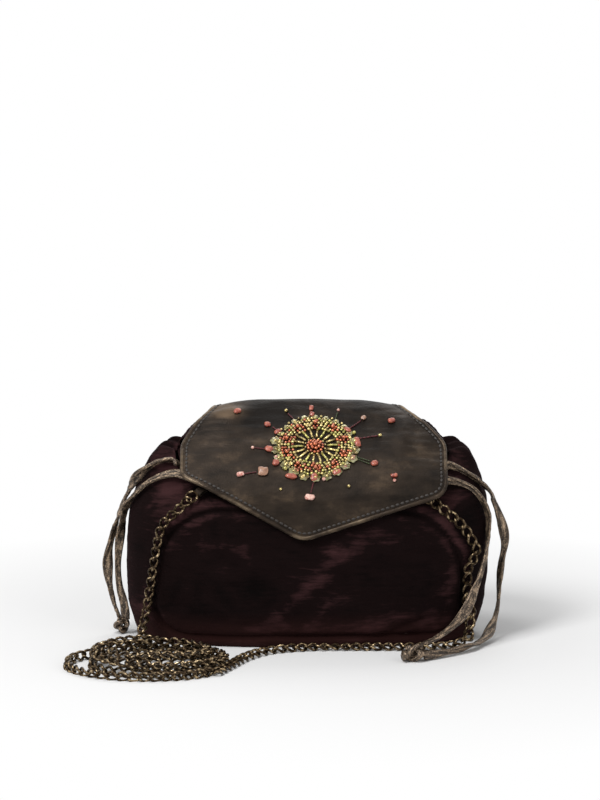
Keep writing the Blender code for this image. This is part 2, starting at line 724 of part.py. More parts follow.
def bead_ring(name, form, radius, count, bead, lift, finish, group, parent, sides=5):
    """Ring of beads strung so closely that they touch, following the flap's surface."""
    bm = bmesh.new()
    rings = []
    for k in range(2 * count):
        turn = math.pi * k / count
        size = bead if k % 2 == 0 else 0.55 * bead
        x = SUN_X + radius * math.cos(turn)
        s = SUN_DOWN + radius * math.sin(turn)
        centre = form.point(x, s, lift + bead)
        out = (form.point(x + MM * math.cos(turn), s + MM * math.sin(turn), lift + bead) - centre).normalized()
        up = (form.point(x, s, lift + bead + MM) - centre).normalized()
        ring = []
        for j in range(sides):
            a = 2.0 * math.pi * j / sides
            ring.append(bm.verts.new(centre + out * (size * math.cos(a)) + up * (size * math.sin(a))))
        rings.append(ring)
    rings.append(rings[0])
    skin(bm, rings)
    return add_object(name, mesh_from(bm, name), finish, group, parent)


def ray_star(form, lift, group, parent):
    """Bugle beads set like rays, joined round the inner ring."""
    bm = bmesh.new()
    top = []
    middle_lift = lift + 0.5 * RAY_THICKNESS
    for k in range(RAYS):
        middle = 2.0 * math.pi * k / RAYS
        for reach, offset in ((RAY_INNER, -0.5), (RAY_OUTER, -0.26), (RAY_OUTER, 0.26)):
            turn = middle + offset * 2.0 * math.pi / RAYS
            top.append(bm.verts.new(form.point(SUN_X + reach * math.cos(turn),
                                               SUN_DOWN + reach * math.sin(turn), middle_lift)))
    inner = []
    for k in range(RAYS):
        turn = 2.0 * math.pi * (k - 0.5) / RAYS
        reach = RAY_INNER - RAY_THICKNESS
        inner.append(bm.verts.new(form.point(SUN_X + reach * math.cos(turn),
                                             SUN_DOWN + reach * math.sin(turn), middle_lift)))
    for k in range(RAYS):
        n = (k + 1) % RAYS
        bm.faces.new((top[3 * k], top[3 * k + 1], top[3 * k + 2], top[3 * n]))
        bm.faces.new((inner[k], top[3 * k], top[3 * n], inner[n]))
    piece = add_object("sunburst_rays", mesh_from(bm, "sunburst_rays"), "gold_bead", group, parent)
    solidify(piece, RAY_THICKNESS, 0.0)


def centre_cluster(form, lift, group, parent):
    """Domed cluster of beads in the middle of the sunburst."""
    bm = bmesh.new()
    rings = []
    around = 2 * CENTRE_BEADS
    for reach, height in ((0.82, 0.0), (1.0, 0.35), (0.66, 0.85)):
        ring = []
        for k in range(around):
            turn = 2.0 * math.pi * k / around
            wave = 1.0 if k % 2 == 0 else 0.82
            radius = CENTRE_RADIUS * 0.82 * reach * wave
            ring.append(bm.verts.new(form.point(SUN_X + radius * math.cos(turn), SUN_DOWN + radius * math.sin(turn),
                                                lift + CENTRE_HEIGHT * height)))
        rings.append(ring)
    skin(bm, rings)
    bm.faces.new(rings[0])
    peak = bm.verts.new(form.point(SUN_X, SUN_DOWN, lift + CENTRE_HEIGHT))
    for k in range(around):
        bm.faces.new((rings[-1][k], rings[-1][(k + 1) % around], peak))
    return add_object("sunburst_centre", mesh_from(bm, "sunburst_centre"), "copper_bead", group, parent)


def loose_stones(form, lift, group, parent):
    """Single stones and chips sewn on around the sunburst, each a small bevelled block."""
    for name, x, s, length, width, turn, finish in STONE_PLACES:
        bm = bmesh.new()
        bmesh.ops.create_cone(bm, cap_ends=True, segments=5, radius1=0.5, radius2=0.36, depth=1.0)
        centre = form.point(x * MM, s * MM, 0.0)
        right = (form.point((x + 1.0) * MM, s * MM) - centre).normalized()
        down = (form.point(x * MM, (s + 1.0) * MM) - centre).normalized()
        up = right.cross(down).normalized()
        if up.z < 0.0:
            up.negate()
        c = math.cos(math.radians(turn))
        d = math.sin(math.radians(turn))
        for vert in bm.verts:
            a = vert.co.x * length * MM
            b = vert.co.y * width * MM
            rise = lift + (vert.co.z + 0.5) * STONE_HEIGHT
            vert.co = centre + right * (a * c - b * d) + down * (a * d + b * c) + up * rise
        add_object(name, mesh_from(bm, name), finish, group, parent)


def sunburst(form, group, parent):
    """Beaded sunburst on the flap, from the centre out."""
    lift = 0.5 * LEATHER + FIT
    centre_cluster(form, lift, group, parent)
    ray_star(form, lift, group, parent)
    seed_ring = RAY_OUTER + SEED_RADIUS + FIT
    bead_ring("sunburst_inner_seed_ring", form, seed_ring, 14, SEED_RADIUS, lift, "gold_bead", group, parent, 4)
    outer_seed = seed_ring + 2.0 * SEED_RADIUS + FIT
    bead_ring("sunburst_outer_seed_ring", form, outer_seed, 18, SEED_RADIUS, lift, "copper_bead", group, parent, 4)
    stones = outer_seed + SEED_RADIUS + STONE_RADIUS + FIT
    bead_ring("sunburst_stone_ring", form, stones, STONES, STONE_RADIUS, lift, "olive_stone", group, parent, 4)
    loose_stones(form, lift, group, parent)


def chain_frames(points, first_up):
    """Tangent, side and up at each point of a route, carried along from an up direction at its start."""
    frames = []
    side = first_up.cross(points[1] - points[0])
    for i, here in enumerate(points):
        ahead = (points[min(i + 1, len(points) - 1)] - points[max(i - 1, 0)]).normalized()
        side = (side - ahead * side.dot(ahead)).normalized()
        frames.append((here, ahead, side, ahead.cross(side)))
    return frames


def link_ring(bm, place, ahead, side, up, turn, half_length=LINK_HALF_LENGTH, half_width=LINK_HALF_WIDTH):
    """One oval link of round wire, turned about the chain's direction."""
    c = math.cos(turn)
    d = math.sin(turn)
    broad = side * c + up * d
    rings = []
    for k in range(6):
        a = math.pi * (k + 0.5) / 3.0
        middle = place + ahead * (half_length * math.cos(a)) + broad * (half_width * math.sin(a))
        out = (ahead * math.cos(a) + broad * math.sin(a)).normalized()
        across = ahead.cross(broad)
        ring = []
        for j in range(3):
            b = 2.0 * math.pi * j / 3.0
            ring.append(bm.verts.new(middle + (out * math.cos(b) + across * math.sin(b)) * WIRE_RADIUS * 1.2))
        rings.append(ring)
    rings.append(rings[0])
    skin(bm, rings)


def linked_chain(name, points, first_up, group, cutters):
    """Run of interlocked links, united where they bear on each other."""
    halves = []
    for parity in (0, 1):
        bm = bmesh.new()
        if parity:
            link_ring(bm, *end_ring_frame(points, first_up), 0.0, END_RING_HALF_LENGTH, END_RING_HALF_WIDTH)
        for i, (place, ahead, side, up) in enumerate(chain_frames(points, first_up)):
            if i % 2 == parity:
                link_ring(bm, place, ahead, side, up, LINK_TURN if parity else -LINK_TURN)
        halves.append(mesh_from(bm, name + str(parity)))
    piece = add_object(name, halves[0], "antique_brass", group)
    other = add_object(name + "_other_links", halves[1], None, cutters)
    other.hide_render = True
    other.display_type = "WIRE"
    boolean(piece, other, "UNION")
    return piece


def end_ring_frame(points, first_up):
    """Middle and axes of the ring that ends a chain, lying flat on the pouch above the first link."""
    here, ahead, side, up = chain_frames(points, first_up)[0]
    return here - ahead * (LINK_HALF_LENGTH + END_RING_HALF_LENGTH - 2.5 * WIRE_RADIUS), ahead, side, up


def chain_tab(name, points, first_up, sink, group):
    """Leather tab folded round the bar of the chain's end ring, its foot sewn down into the gathers."""
    centre, ahead, side, up = end_ring_frame(points, first_up)
    bar = centre - ahead * (END_RING_HALF_LENGTH * math.cos(math.pi / 6.0))
    fold = 1.2 * WIRE_RADIUS + FIT + 0.5 * TAB_LEATHER
    drop = CHAIN_END_STANDOFF - 0.5 * TAB_LEATHER - FIT
    profile = [(TAB_LENGTH, -drop - sink), (0.4 * TAB_LENGTH, -drop), (0.0, -fold), (-0.8 * fold, -0.6 * fold),
               (-0.8 * fold, 0.6 * fold), (0.0, fold), (0.4 * TAB_LENGTH, 0.4 * fold),
               (TAB_LENGTH, TAB_LEATHER + FIT - drop - sink)]
    bm = bmesh.new()
    rows = []
    for reach, height in profile:
        middle = bar - ahead * reach + up * height
        rows.append([bm.verts.new(middle + side * (k * 0.5 * TAB_WIDTH)) for k in (-1.0, 1.0)])
    skin(bm, rows, False)
    tab = add_object(name, mesh_from(bm, name), "leather", group)
    solidify(tab, TAB_LEATHER, 0.0)


def laid_chain(name, points, group):
    """Chain as it lies: a flat rope that swells at each link and narrows between links."""
    bm = bmesh.new()
    rings = []
    for i, (place, ahead, side, up) in enumerate(chain_frames(points, Vector((0.0, 0.0, 1.0)))):
        size = 1.0 if i % 2 == 0 else 0.52
        lean = 0.35 if i % 4 == 0 else -0.35
        ring = []
        for j in range(3):
            b = math.pi * (0.5 + 2.0 * j / 3.0) + lean
            ring.append(bm.verts.new(place + side * (CHAIN_HALF_WIDTH * size * math.cos(b))
                                     + up * (CHAIN_HALF_HEIGHT * size * math.sin(b))))
        rings.append(ring)
    skin(bm, rings)
    bm.faces.new(rings[0])
    bm.faces.new(rings[-1])
    return add_object(name, mesh_from(bm, name), "antique_brass", group)


def heap_route():
    """The slack of the strap: an inward coil on top of an outward coil, lying on the floor."""
    route = []
    floor = CHAIN_HALF_HEIGHT + FIT
    steps = 24
    low_turns = HEAP_TURNS - HEAP_TOP_TURNS
    for k in range(round(steps * HEAP_TURNS) + 1):
        turns = k / steps
        angle = 0.5 * math.pi + 2.0 * math.pi * turns
        if turns < HEAP_TOP_TURNS:
            share = turns / HEAP_TOP_TURNS
            inward = HEAP_TOP_INSET + HEAP_TOP_COIL * share
            height = floor + HEAP_LAYER * (1.0 - ease((turns - HEAP_TOP_TURNS + 0.16) / 0.16))
        else:
            share = (turns - HEAP_TOP_TURNS) / low_turns
            inward = HEAP_FLOOR_COIL * (1.0 - share)
            height = floor
        route.append(Vector((HEAP_CENTRE_X + (HEAP_HALF_WIDTH - inward) * math.cos(angle),
                             HEAP_CENTRE_Y + (HEAP_HALF_DEPTH - inward) * math.sin(angle), height)))
    return route


def chain_strap(group, cutters):
    """Chain strap: two hanging falls of real links, the heap and the run along the front."""
    left, right = [[on_shell(t, math.radians(a), CHAIN_STANDOFF if i else CHAIN_END_STANDOFF)
                    for i, (t, a) in enumerate(fall)] for fall in (LEFT_FALL, RIGHT_FALL)]
    heap = heap_route()
    landing = [Vector(p) * MM for p in LEFT_LANDING]
    run = [heap[-1] + (heap[-1] - heap[-2]).normalized() * CHAIN_BREAK] + [Vector(p) * MM for p in FRONT_RUN]
    for side, route, fall, sink in (("left", left + landing, LEFT_FALL, LEFT_TAB_SINK),
                                    ("right", right, RIGHT_FALL, RIGHT_TAB_SINK)):
        places = smooth_path(route, LINK_PITCH)
        outward = shell_normal(fall[0][0], math.radians(fall[0][1]))
        linked_chain("chain_" + side + "_fall", places, outward, group, cutters)
        chain_tab("chain_tab_" + side, places, outward, sink, group)
    laid_chain("chain_heap", smooth_path(heap, 0.5 * LINK_PITCH), group)
    laid_chain("chain_front_run", smooth_path(run, 0.5 * LINK_PITCH), group)


def main():
    """Build the whole bag."""
    clear_scene()
    parts = collection("potli_bag")
    cutters = collection("cutters")
    velvet_shell(parts, cutters)
    lining_bag(parts)
    casing_half("casing_back_half", 0.0, parts)
    casing_half("casing_front_half", math.pi, parts)
    drawstrings(parts)
    anchor_strip(parts)
    pivot = bpy.data.objects.new("flap_hinge", None)
    pivot.location = hinge_point()
    parts.objects.link(pivot)
    bpy.context.view_layer.update()
    form = FlapForm()
    leather_flap(form, parts, pivot)
    sunburst(form, parts, pivot)
    chain_strap(parts, cutters)


main()
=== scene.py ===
"""Velvet potli bag with a bronze leather flap, a beaded sunburst and a chain strap.

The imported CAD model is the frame. Every soft or coarse solid in it is replaced here by a finer
piece that stays where the solid is. Metres throughout, +Z up, the front of the bag faces -Y.
"""

from __future__ import annotations

import logging
import math
import random
from dataclasses import dataclass, field
from enum import Enum
from typing import Any, Callable, Sequence

import bmesh
import bpy
from mathutils import Matrix, Vector, noise

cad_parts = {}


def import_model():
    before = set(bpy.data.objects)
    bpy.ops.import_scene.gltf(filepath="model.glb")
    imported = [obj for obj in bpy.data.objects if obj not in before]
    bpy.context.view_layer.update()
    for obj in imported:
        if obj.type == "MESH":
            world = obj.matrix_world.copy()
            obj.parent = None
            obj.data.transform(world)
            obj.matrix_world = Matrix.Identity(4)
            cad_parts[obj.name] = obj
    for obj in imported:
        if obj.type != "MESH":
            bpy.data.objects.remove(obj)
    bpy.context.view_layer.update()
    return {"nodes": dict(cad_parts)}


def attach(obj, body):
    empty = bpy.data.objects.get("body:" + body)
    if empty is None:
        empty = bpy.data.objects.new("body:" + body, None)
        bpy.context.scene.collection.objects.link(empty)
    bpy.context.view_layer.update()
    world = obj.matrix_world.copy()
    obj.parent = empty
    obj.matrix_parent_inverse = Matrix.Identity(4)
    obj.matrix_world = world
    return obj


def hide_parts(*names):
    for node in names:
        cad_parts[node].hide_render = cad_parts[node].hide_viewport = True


LOG = logging.getLogger("potli_bag")
MM = 0.001
Place = Callable[[float, float], Vector]
BMesh = bmesh.types.BMesh
Material = bpy.types.Material
NodeTree = bpy.types.NodeTree
NodeSocket = bpy.types.NodeSocket
ShaderNode = bpy.types.Node
Piece = bpy.types.Object


class Body(Enum):
    """CAD bodies that pieces ride on."""

    BAG = "bag"
    FLAP = "flap"


class Sewn(Enum):
    """What is sewn on the flap: the name of its finish and the record's material slot."""

    COPPER = ("copper", "copper_bead")
    GOLD = ("gold", "gold_bead")
    OLIVE = ("olive", "olive_stone")
    SEQUIN = ("sequin", "olive_stone")
    CORAL = ("coral", "coral_chip")
    ROSE = ("rose", "coral_chip")
    BEIGE = ("beige", "olive_stone")
    SILK = ("silk", "coral_chip")
    LEAF = ("leaf", "coral_chip")


# Small tools for shapes and materials


def linear(hex_colour: str) -> tuple[float, float, float, float]:
    """Turn an sRGB hex colour into linear values.

    Args:
        hex_colour: Six hex digits, with or without a leading hash.

    Returns:
        Linear red, green and blue with an alpha of 1.
    """
    digits = hex_colour.lstrip("#")
    shares = [int(digits[i : i + 2], 16) / 255.0 for i in (0, 2, 4)]
    red, green, blue = [s / 12.92 if s <= 0.04045 else ((s + 0.055) / 1.055) ** 2.4 for s in shares]
    return red, green, blue, 1.0


def add_node(
    tree: NodeTree,
    kind: str,
    settings: dict[str, Any] | None = None,
    inputs: dict[Any, Any] | None = None,
    stops: Sequence[tuple[float, str]] = (),
) -> ShaderNode:
    """Add a node with its settings, values and links.

    Args:
        tree: Node tree that gets the node.
        kind: Node type without its "ShaderNode" start.
        settings: Attributes of the node by name.
        inputs: Values, or sockets to link from, by input name or index.
        stops: Position and hex colour of each stop, where the node has a colour ramp.

    Returns:
        The new node.
    """
    node = tree.nodes.new("ShaderNode" + kind)
    for name, value in (settings or {}).items():
        setattr(node, name, value)
    for key, value in (inputs or {}).items():
        if isinstance(value, NodeSocket):
            tree.links.new(value, node.inputs[key])
        else:
            node.inputs[key].default_value = value
    if stops:
        elements = node.color_ramp.elements
        while len(elements) < len(stops):
            elements.new(0.5)
        for element, (position, colour) in zip(elements, stops):
            element.position = position
            element.color = linear(colour)
    return node


def principled(name: str, roughness: float, metallic: float) -> tuple[Material, NodeTree, ShaderNode]:
    """Start a material.

    Args:
        name: Name of the finish.
        roughness: Typical roughness of the material.
        metallic: 0 for a dielectric, 1 for a metal.

    Returns:
        The material, its node tree and its Principled shader.
    """
    made = bpy.data.materials.new(name)
    made.use_nodes = True
    tree = made.node_tree
    shader = tree.nodes["Principled BSDF"]
    shader.inputs["Roughness"].default_value = roughness
    shader.inputs["Metallic"].default_value = metallic
    return made, tree, shader


def scaled_coords(tree: NodeTree, size_mm: Sequence[float], source: str = "Object") -> NodeSocket:
    """Coordinates in which one unit is a real size.

    Args:
        tree: Node tree that gets the nodes.
        size_mm: Length of one unit along X, Y and Z, in millimetres, or in shares of a UV map.
        source: Output of Texture Coordinate to start from.

    Returns:
        The scaled vector.
    """
    coords = add_node(tree, "TexCoord").outputs[source]
    unit = MM if source == "Object" else 1.0
    scale = tuple(1.0 / (s * unit) for s in size_mm)
    return add_node(tree, "Mapping", inputs={"Vector": coords, "Scale": scale}).outputs["Vector"]


def ease(u: float) -> float:
    """Smooth step from 0 to 1."""
    u = min(max(u, 0.0), 1.0)
    return u * u * (3.0 - 2.0 * u)


def hump(distance: float, width: float) -> float:
    """Rounded ridge, 1 in its middle and near 0 past its width."""
    return math.exp(-((distance / width) ** 2))


def smooth_value(values: Sequence[float], t: float) -> float:
    """Read a Catmull-Rom curve through evenly spaced values.

    Args:
        values: The curve's own values.
        t: Place on it, in steps from the first value.

    Returns:
        The value there.
    """
    last = len(values) - 1
    t = min(max(t, 0.0), float(last))
    i = min(int(t), last - 1)
    u = t - i
    a, b, c, d = values[max(i - 1, 0)], values[i], values[i + 1], values[min(i + 2, last)]
    return b + 0.5 * u * (c - a + u * (2 * a - 5 * b + 4 * c - d + u * (3 * (b - c) + d - a)))


def resample(dense: Sequence[Vector], spacing: float) -> list[Vector]:
    """Space points evenly along a dense polyline, with its ends kept.

    Args:
        dense: Points close together.
        spacing: Wanted distance between points, in metres.

    Returns:
        Evenly spaced points.
    """
    lengths = [0.0]
    for a, b in zip(dense, dense[1:]):
        lengths.append(lengths[-1] + (b - a).length)
    count = max(2, round(lengths[-1] / spacing))
    result = []
    k = 0
    for i in range(count + 1):
        target = lengths[-1] * i / count
        while k < len(lengths) - 2 and lengths[k + 1] < target:
            k += 1
        span = lengths[k + 1] - lengths[k]
        result.append(dense[k].lerp(dense[k + 1], 0.0 if span == 0.0 else (target - lengths[k]) / span))
    return result


def smooth_path(points: Sequence[Vector], spacing: float) -> list[Vector]:
    """Evenly spaced points on a smooth curve through a route's own points.

    Args:
        points: The route.
        spacing: Wanted distance between points, in metres.

    Returns:
        Points on the curve.
    """
    columns = [[p[k] for p in points] for k in range(3)]
    steps = 24
    dense = [Vector([smooth_value(column, i / steps) for column in columns])
             for i in range(steps * (len(points) - 1) + 1)]
    return resample(dense, spacing)


def rounded_outline(corners: Sequence[Vector], radii: Sequence[float]) -> list[Vector]:
    """Flat outline through corners, each rounded by its own radius.

    Args:
        corners: Corners in order.
        radii: Radius at each corner; 0 keeps it sharp.

    Returns:
        Points of the outline.
    """
    outline = []
    for i, (here, radius) in enumerate(zip(corners, radii)):
        if radius == 0.0:
            outline.append(here)
            continue
        before = (corners[i - 1] - here).normalized()
        after = (corners[(i + 1) % len(corners)] - here).normalized()
        half = 0.5 * math.acos(max(-1.0, min(1.0, before.dot(after))))
        centre = here + (before + after).normalized() * (radius / math.sin(half))
        first = here + before * (radius / math.tan(half)) - centre
        last = here + after * (radius / math.tan(half)) - centre
        sweep = math.atan2(first.x * last.y - first.y * last.x, first.dot(last))
        steps = max(2, round(abs(sweep) / math.radians(8.0)))
        for k in range(steps + 1):
            outline.append(centre + Matrix.Rotation(sweep * k / steps, 2) @ first)
    return outline


def path_length(points: Sequence[Vector]) -> float:
    """Length of a polyline in metres."""
    return sum((b - a).length for a, b in zip(points, points[1:]))


def frames_along(points: Sequence[Vector], first_up: Vector) -> list[tuple[Vector, Vector, Vector, Vector]]:
    """Frames carried along a route without twisting.

    Args:
        points: Evenly spaced points.
        first_up: Up direction at the start.

    Returns:
        Place, tangent, side and up at each point.
    """
    frames = []
    side = first_up.cross(points[1] - points[0])
    for i, here in enumerate(points):
        ahead = (points[min(i + 1, len(points) - 1)] - points[max(i - 1, 0)]).normalized()
        side = (side - ahead * side.dot(ahead)).normalized()
        frames.append((here, ahead, side, ahead.cross(side)))
    return frames


def warped_grid(columns: int, rows: int, place: Place) -> BMesh:
    """Grid with a UV map, bent into a shape; edges that meet are welded.

    Args:
        columns: Faces along u.
        rows: Faces along v.
        place: Gives a point for u and v from 0 to 1.

    Returns:
        The new bmesh.
    """
    bm = bmesh.new()
    bm.loops.layers.uv.new("UVMap")
    bmesh.ops.create_grid(bm, x_segments=columns, y_segments=rows, size=0.5, calc_uvs=True)
    for vert in bm.verts:
        vert.co = place(vert.co.x + 0.5, vert.co.y + 0.5)
    bmesh.ops.remove_doubles(bm, verts=bm.verts, dist=1e-6)
    return bm


def turn_outwards(bm: BMesh, centre: Vector) -> None:
    """Turn an open surface so that its faces look away from a centre."""
    bm.normal_update()
    if sum(f.normal.dot(f.calc_center_median() - centre) * f.calc_area() for f in bm.faces) < 0.0:
        bmesh.ops.reverse_faces(bm, faces=bm.faces)


def close_tube(bm: BMesh) -> None:
    """Cap a tube's open ends and turn its faces outwards."""
    bmesh.ops.holes_fill(bm, edges=[e for e in bm.edges if e.is_boundary], sides=0)
    bmesh.ops.recalc_face_normals(bm, faces=bm.faces)


def add_shape(
    target: BMesh, make: Callable[..., dict], matrix: Matrix, **sizes: Any
) -> list[bmesh.types.BMVert]:
    """Add one of the ready shapes of bmesh.ops to a mesh.

    Args:
        target: Mesh that gets the shape.
        make: The create operator.
        matrix: Where the shape goes.
        **sizes: The operator's own settings.

    Returns:
        The new vertices.
    """
    return make(target, matrix=matrix, **sizes)["verts"]


def axes_matrix(place: Vector, x_axis: Vector, y_axis: Vector, z_axis: Vector) -> Matrix:
    """Matrix from a place and three axes."""
    turned = Matrix((x_axis, y_axis, z_axis)).transposed().to_4x4()
    return Matrix.Translation(place) @ turned


def finish_piece(
    name: str,
    bm: BMesh,
    material: Material,
    body: Body,
    slot: str,
    nodes: Sequence[str] = (),
) -> Piece:
    """Turn a bmesh into a dressed piece that rides on a body.

    Args:
        name: Name of the piece.
        bm: Its shape; it is freed here.
        material: Its finish.
        body: CAD body that it rides on.
        slot: Material slot of the record; not used.
        nodes: CAD nodes that it stands for.

    Returns:
        The new object.
    """
    mesh = bpy.data.meshes.new(name)
    bm.to_mesh(mesh)
    bm.free()
    mesh.shade_smooth()
    mesh.materials.append(material)
    piece = bpy.data.objects.new(name, mesh)
    bpy.context.scene.collection.objects.link(piece)
    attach(piece, body.value)
    if nodes:
        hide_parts(*nodes)
    LOG.info("%s: %d faces", name, len(mesh.polygons))
    return piece


def add_wall(piece: Piece, thickness: float, offset: float) -> None:
    """Give a sheet its real thickness."""
    wall = piece.modifiers.new("wall", "SOLIDIFY")
    wall.thickness = thickness
    wall.offset = offset


# Finishes


@dataclass(frozen=True)
class CrushedVelvet:
    """Wine-brown crushed velvet: the pile drinks light, and lies in pale streaks where it is pressed."""

    name: str = "crushed_velvet"
    dark: str = "#070404"
    wine: str = "#130a0a"
    # Palest colour: pale crushed pile and painted sheen.
    nap: str = "#3a2425"
    painted_floor_glow: str = "#2b1614"

    def material(self) -> Material:
        """Build the node material."""
        made, tree, shader = principled(self.name, 0.9, 0.0)
        # Pressed streaks run across the cloth, 2 mm apart and 13 mm long.
        streaks = add_node(tree, "TexNoise", inputs={
            "Vector": scaled_coords(tree, (13.0, 13.0, 2.2)), "Scale": 1.0, "Detail": 8.0,
            "Roughness": 0.72, "Distortion": 0.5}).outputs["Fac"]
        patches = add_node(tree, "TexNoise", inputs={
            "Vector": scaled_coords(tree, (46.0, 46.0, 30.0)), "Scale": 1.0, "Detail": 3.0,
            "Distortion": 1.2}).outputs["Fac"]
        faint = add_node(tree, "Math", {"operation": "MULTIPLY"}, {0: patches, 1: 0.72}).outputs[0]
        both = add_node(tree, "Math", {"operation": "MULTIPLY_ADD"}, {
            0: streaks, 1: 0.42, 2: faint}).outputs[0]
        # A per-point attribute adds painted sheen patches, and painted shade along the panel seam.
        sheen_patches = add_node(tree, "Attribute", {"attribute_name": "nap"}).outputs["Fac"]
        laid = add_node(tree, "Math", {"operation": "MULTIPLY_ADD"}, {
            0: sheen_patches, 1: 0.17, 2: both}).outputs[0]
        colour = add_node(tree, "ValToRGB", inputs={"Fac": laid}, stops=(
            (0.42, self.dark), (0.58, self.wine), (0.66, self.wine), (0.82, self.nap))).outputs["Color"]
        # The lowest 2 cm are painted redder, a painted glow standing in for light from the floor on the pile.
        height = add_node(tree, "SeparateXYZ", inputs={0: add_node(tree, "TexCoord").outputs["Object"]})
        low = add_node(tree, "MapRange", inputs={
            "Value": height.outputs["Z"], "From Min": 0.022, "From Max": 0.004,
            "To Min": 0.0, "To Max": 0.7}).outputs["Result"]
        lit = add_node(tree, "Mix", {"data_type": "RGBA"}, {
            "Factor": low, 6: colour, 7: linear(self.painted_floor_glow)})
        tree.links.new(lit.outputs[2], shader.inputs["Base Color"])
        shader.inputs["Specular IOR Level"].default_value = 0.05
        shader.inputs["Sheen Weight"].default_value = 0.09
        shader.inputs["Sheen Roughness"].default_value = 0.38
        shader.inputs["Sheen Tint"].default_value = linear("#8a5a60")
        # Pile tufts are 0.3 mm, drawn at 0.7 mm so that they show.
        pile = add_node(tree, "TexNoise", inputs={
            "Vector": scaled_coords(tree, (0.7, 0.7, 0.7)), "Scale": 1.0, "Detail": 2.0})
        fine = add_node(tree, "Bump", inputs={
            "Strength": 0.35, "Distance": 0.4 * MM, "Height": pile.outputs["Fac"]})
        bump = add_node(tree, "Bump", inputs={
            "Strength": 0.55, "Distance": 1.2 * MM, "Height": streaks,
            "Normal": fine.outputs["Normal"]})
        tree.links.new(bump.outputs["Normal"], shader.inputs["Normal"])
        return made


@dataclass(frozen=True)
class BronzeLeather:
    """Nappa leather with a bronze pearl topcoat: pebbled grain and dull sheen, with painted highlights and
    painted shade from a per-point attribute.
    """

    name: str = "bronze_leather"
    shade: str = "#15110e"
    tan: str = "#2e261f"
    # Palest colour: pale leather and painted highlight.
    pale_and_highlight: str = "#58493a"
    roughness: float = 0.42
    # Shifts the ramp paler: scuffed edges and painted sheen.
    wear_and_sheen: float = 0.0

    def material(self) -> Material:
        """Build the node material."""
        made, tree, shader = principled(self.name, self.roughness, 0.5)
        clouds = add_node(tree, "TexNoise", inputs={
            "Vector": scaled_coords(tree, (24.0, 24.0, 16.0)), "Scale": 1.0, "Detail": 5.0,
            "Roughness": 0.6}).outputs["Fac"]
        # Painted highlights and painted shade from a per-point attribute shift the random tone along the
        # ramp.
        burnish = add_node(tree, "Attribute", {"attribute_name": "burnish"}).outputs["Fac"]
        toned = add_node(tree, "Math", {"operation": "ADD"}, {0: clouds, 1: burnish}).outputs[0]
        colour = add_node(tree, "ValToRGB", inputs={"Fac": toned}, stops=(
            (0.30, self.shade), (0.58 - 0.2 * self.wear_and_sheen, self.tan),
            (0.86 - 0.3 * self.wear_and_sheen, self.pale_and_highlight))).outputs["Color"]
        tree.links.new(colour, shader.inputs["Base Color"])
        shader.inputs["Specular IOR Level"].default_value = 0.12
        # Grain pebbles are 0.5 mm, drawn at 0.9 mm so that they show.
        grain = add_node(tree, "TexVoronoi", {"feature": "SMOOTH_F1"}, {
            "Vector": scaled_coords(tree, (0.9, 0.9, 0.9)), "Scale": 1.0, "Smoothness": 0.6})
        creases = add_node(tree, "TexNoise", inputs={
            "Vector": scaled_coords(tree, (14.0, 14.0, 2.2)), "Scale": 1.0, "Detail": 4.0,
            "Distortion": 0.8}).outputs["Fac"]
        polish = add_node(tree, "MapRange", inputs={
            "Value": creases, "From Min": 0.3, "From Max": 0.7,
            "To Min": self.roughness - 0.07, "To Max": self.roughness + 0.09})
        tree.links.new(polish.outputs["Result"], shader.inputs["Roughness"])
        fine = add_node(tree, "Bump", inputs={
            "Strength": 0.3, "Distance": 0.3 * MM, "Height": grain.outputs["Distance"]})
        bump = add_node(tree, "Bump", inputs={
            "Strength": 0.35, "Distance": 0.7 * MM, "Height": creases,
            "Normal": fine.outputs["Normal"]})
        tree.links.new(bump.outputs["Normal"], shader.inputs["Normal"])
        return made


@dataclass(frozen=True)
class TissueRibbon:
    """Folded metal-thread tissue: silk crossed with bronze lurex that glitters, with painted shade and
    painted glints along its pleats.
    """

    name: str = "tissue_ribbon"
    shade: str = "#120f0d"
    bronze: str = "#453a30"
    glint: str = "#c0a68a"

    def material(self) -> Material:
        """Build the node material."""
        made, tree, shader = principled(self.name, 0.42, 0.55)
        # Lurex floats are 0.3 mm, drawn at 0.8 mm so that they glitter in the render.
        glitter = add_node(tree, "TexVoronoi", inputs={
            "Vector": scaled_coords(tree, (0.8, 0.8, 0.8)), "Scale": 1.0}).outputs["Distance"]
        folds = add_node(tree, "TexNoise", inputs={
            "Vector": scaled_coords(tree, (0.10, 0.05, 1.0), "UV"), "Scale": 1.0, "Detail": 5.0,
            "Roughness": 0.6}).outputs["Fac"]
        mixed = add_node(tree, "Math", {"operation": "MULTIPLY_ADD"}, {
            0: glitter, 1: 0.28, 2: folds}).outputs[0]
        # The colour follows the folds: painted shade in their troughs and painted glints on their ridges.
        colour = add_node(tree, "ValToRGB", inputs={"Fac": mixed}, stops=(
            (0.42, self.shade), (0.62, self.bronze), (0.88, self.glint))).outputs["Color"]
        tree.links.new(colour, shader.inputs["Base Color"])
        fine = add_node(tree, "Bump", inputs={
            "Strength": 0.5, "Distance": 0.3 * MM, "Height": glitter})
        bump = add_node(tree, "Bump", inputs={
            "Strength": 0.8, "Distance": 0.9 * MM, "Height": folds, "Normal": fine.outputs["Normal"]})
        tree.links.new(bump.outputs["Normal"], shader.inputs["Normal"])
        return made


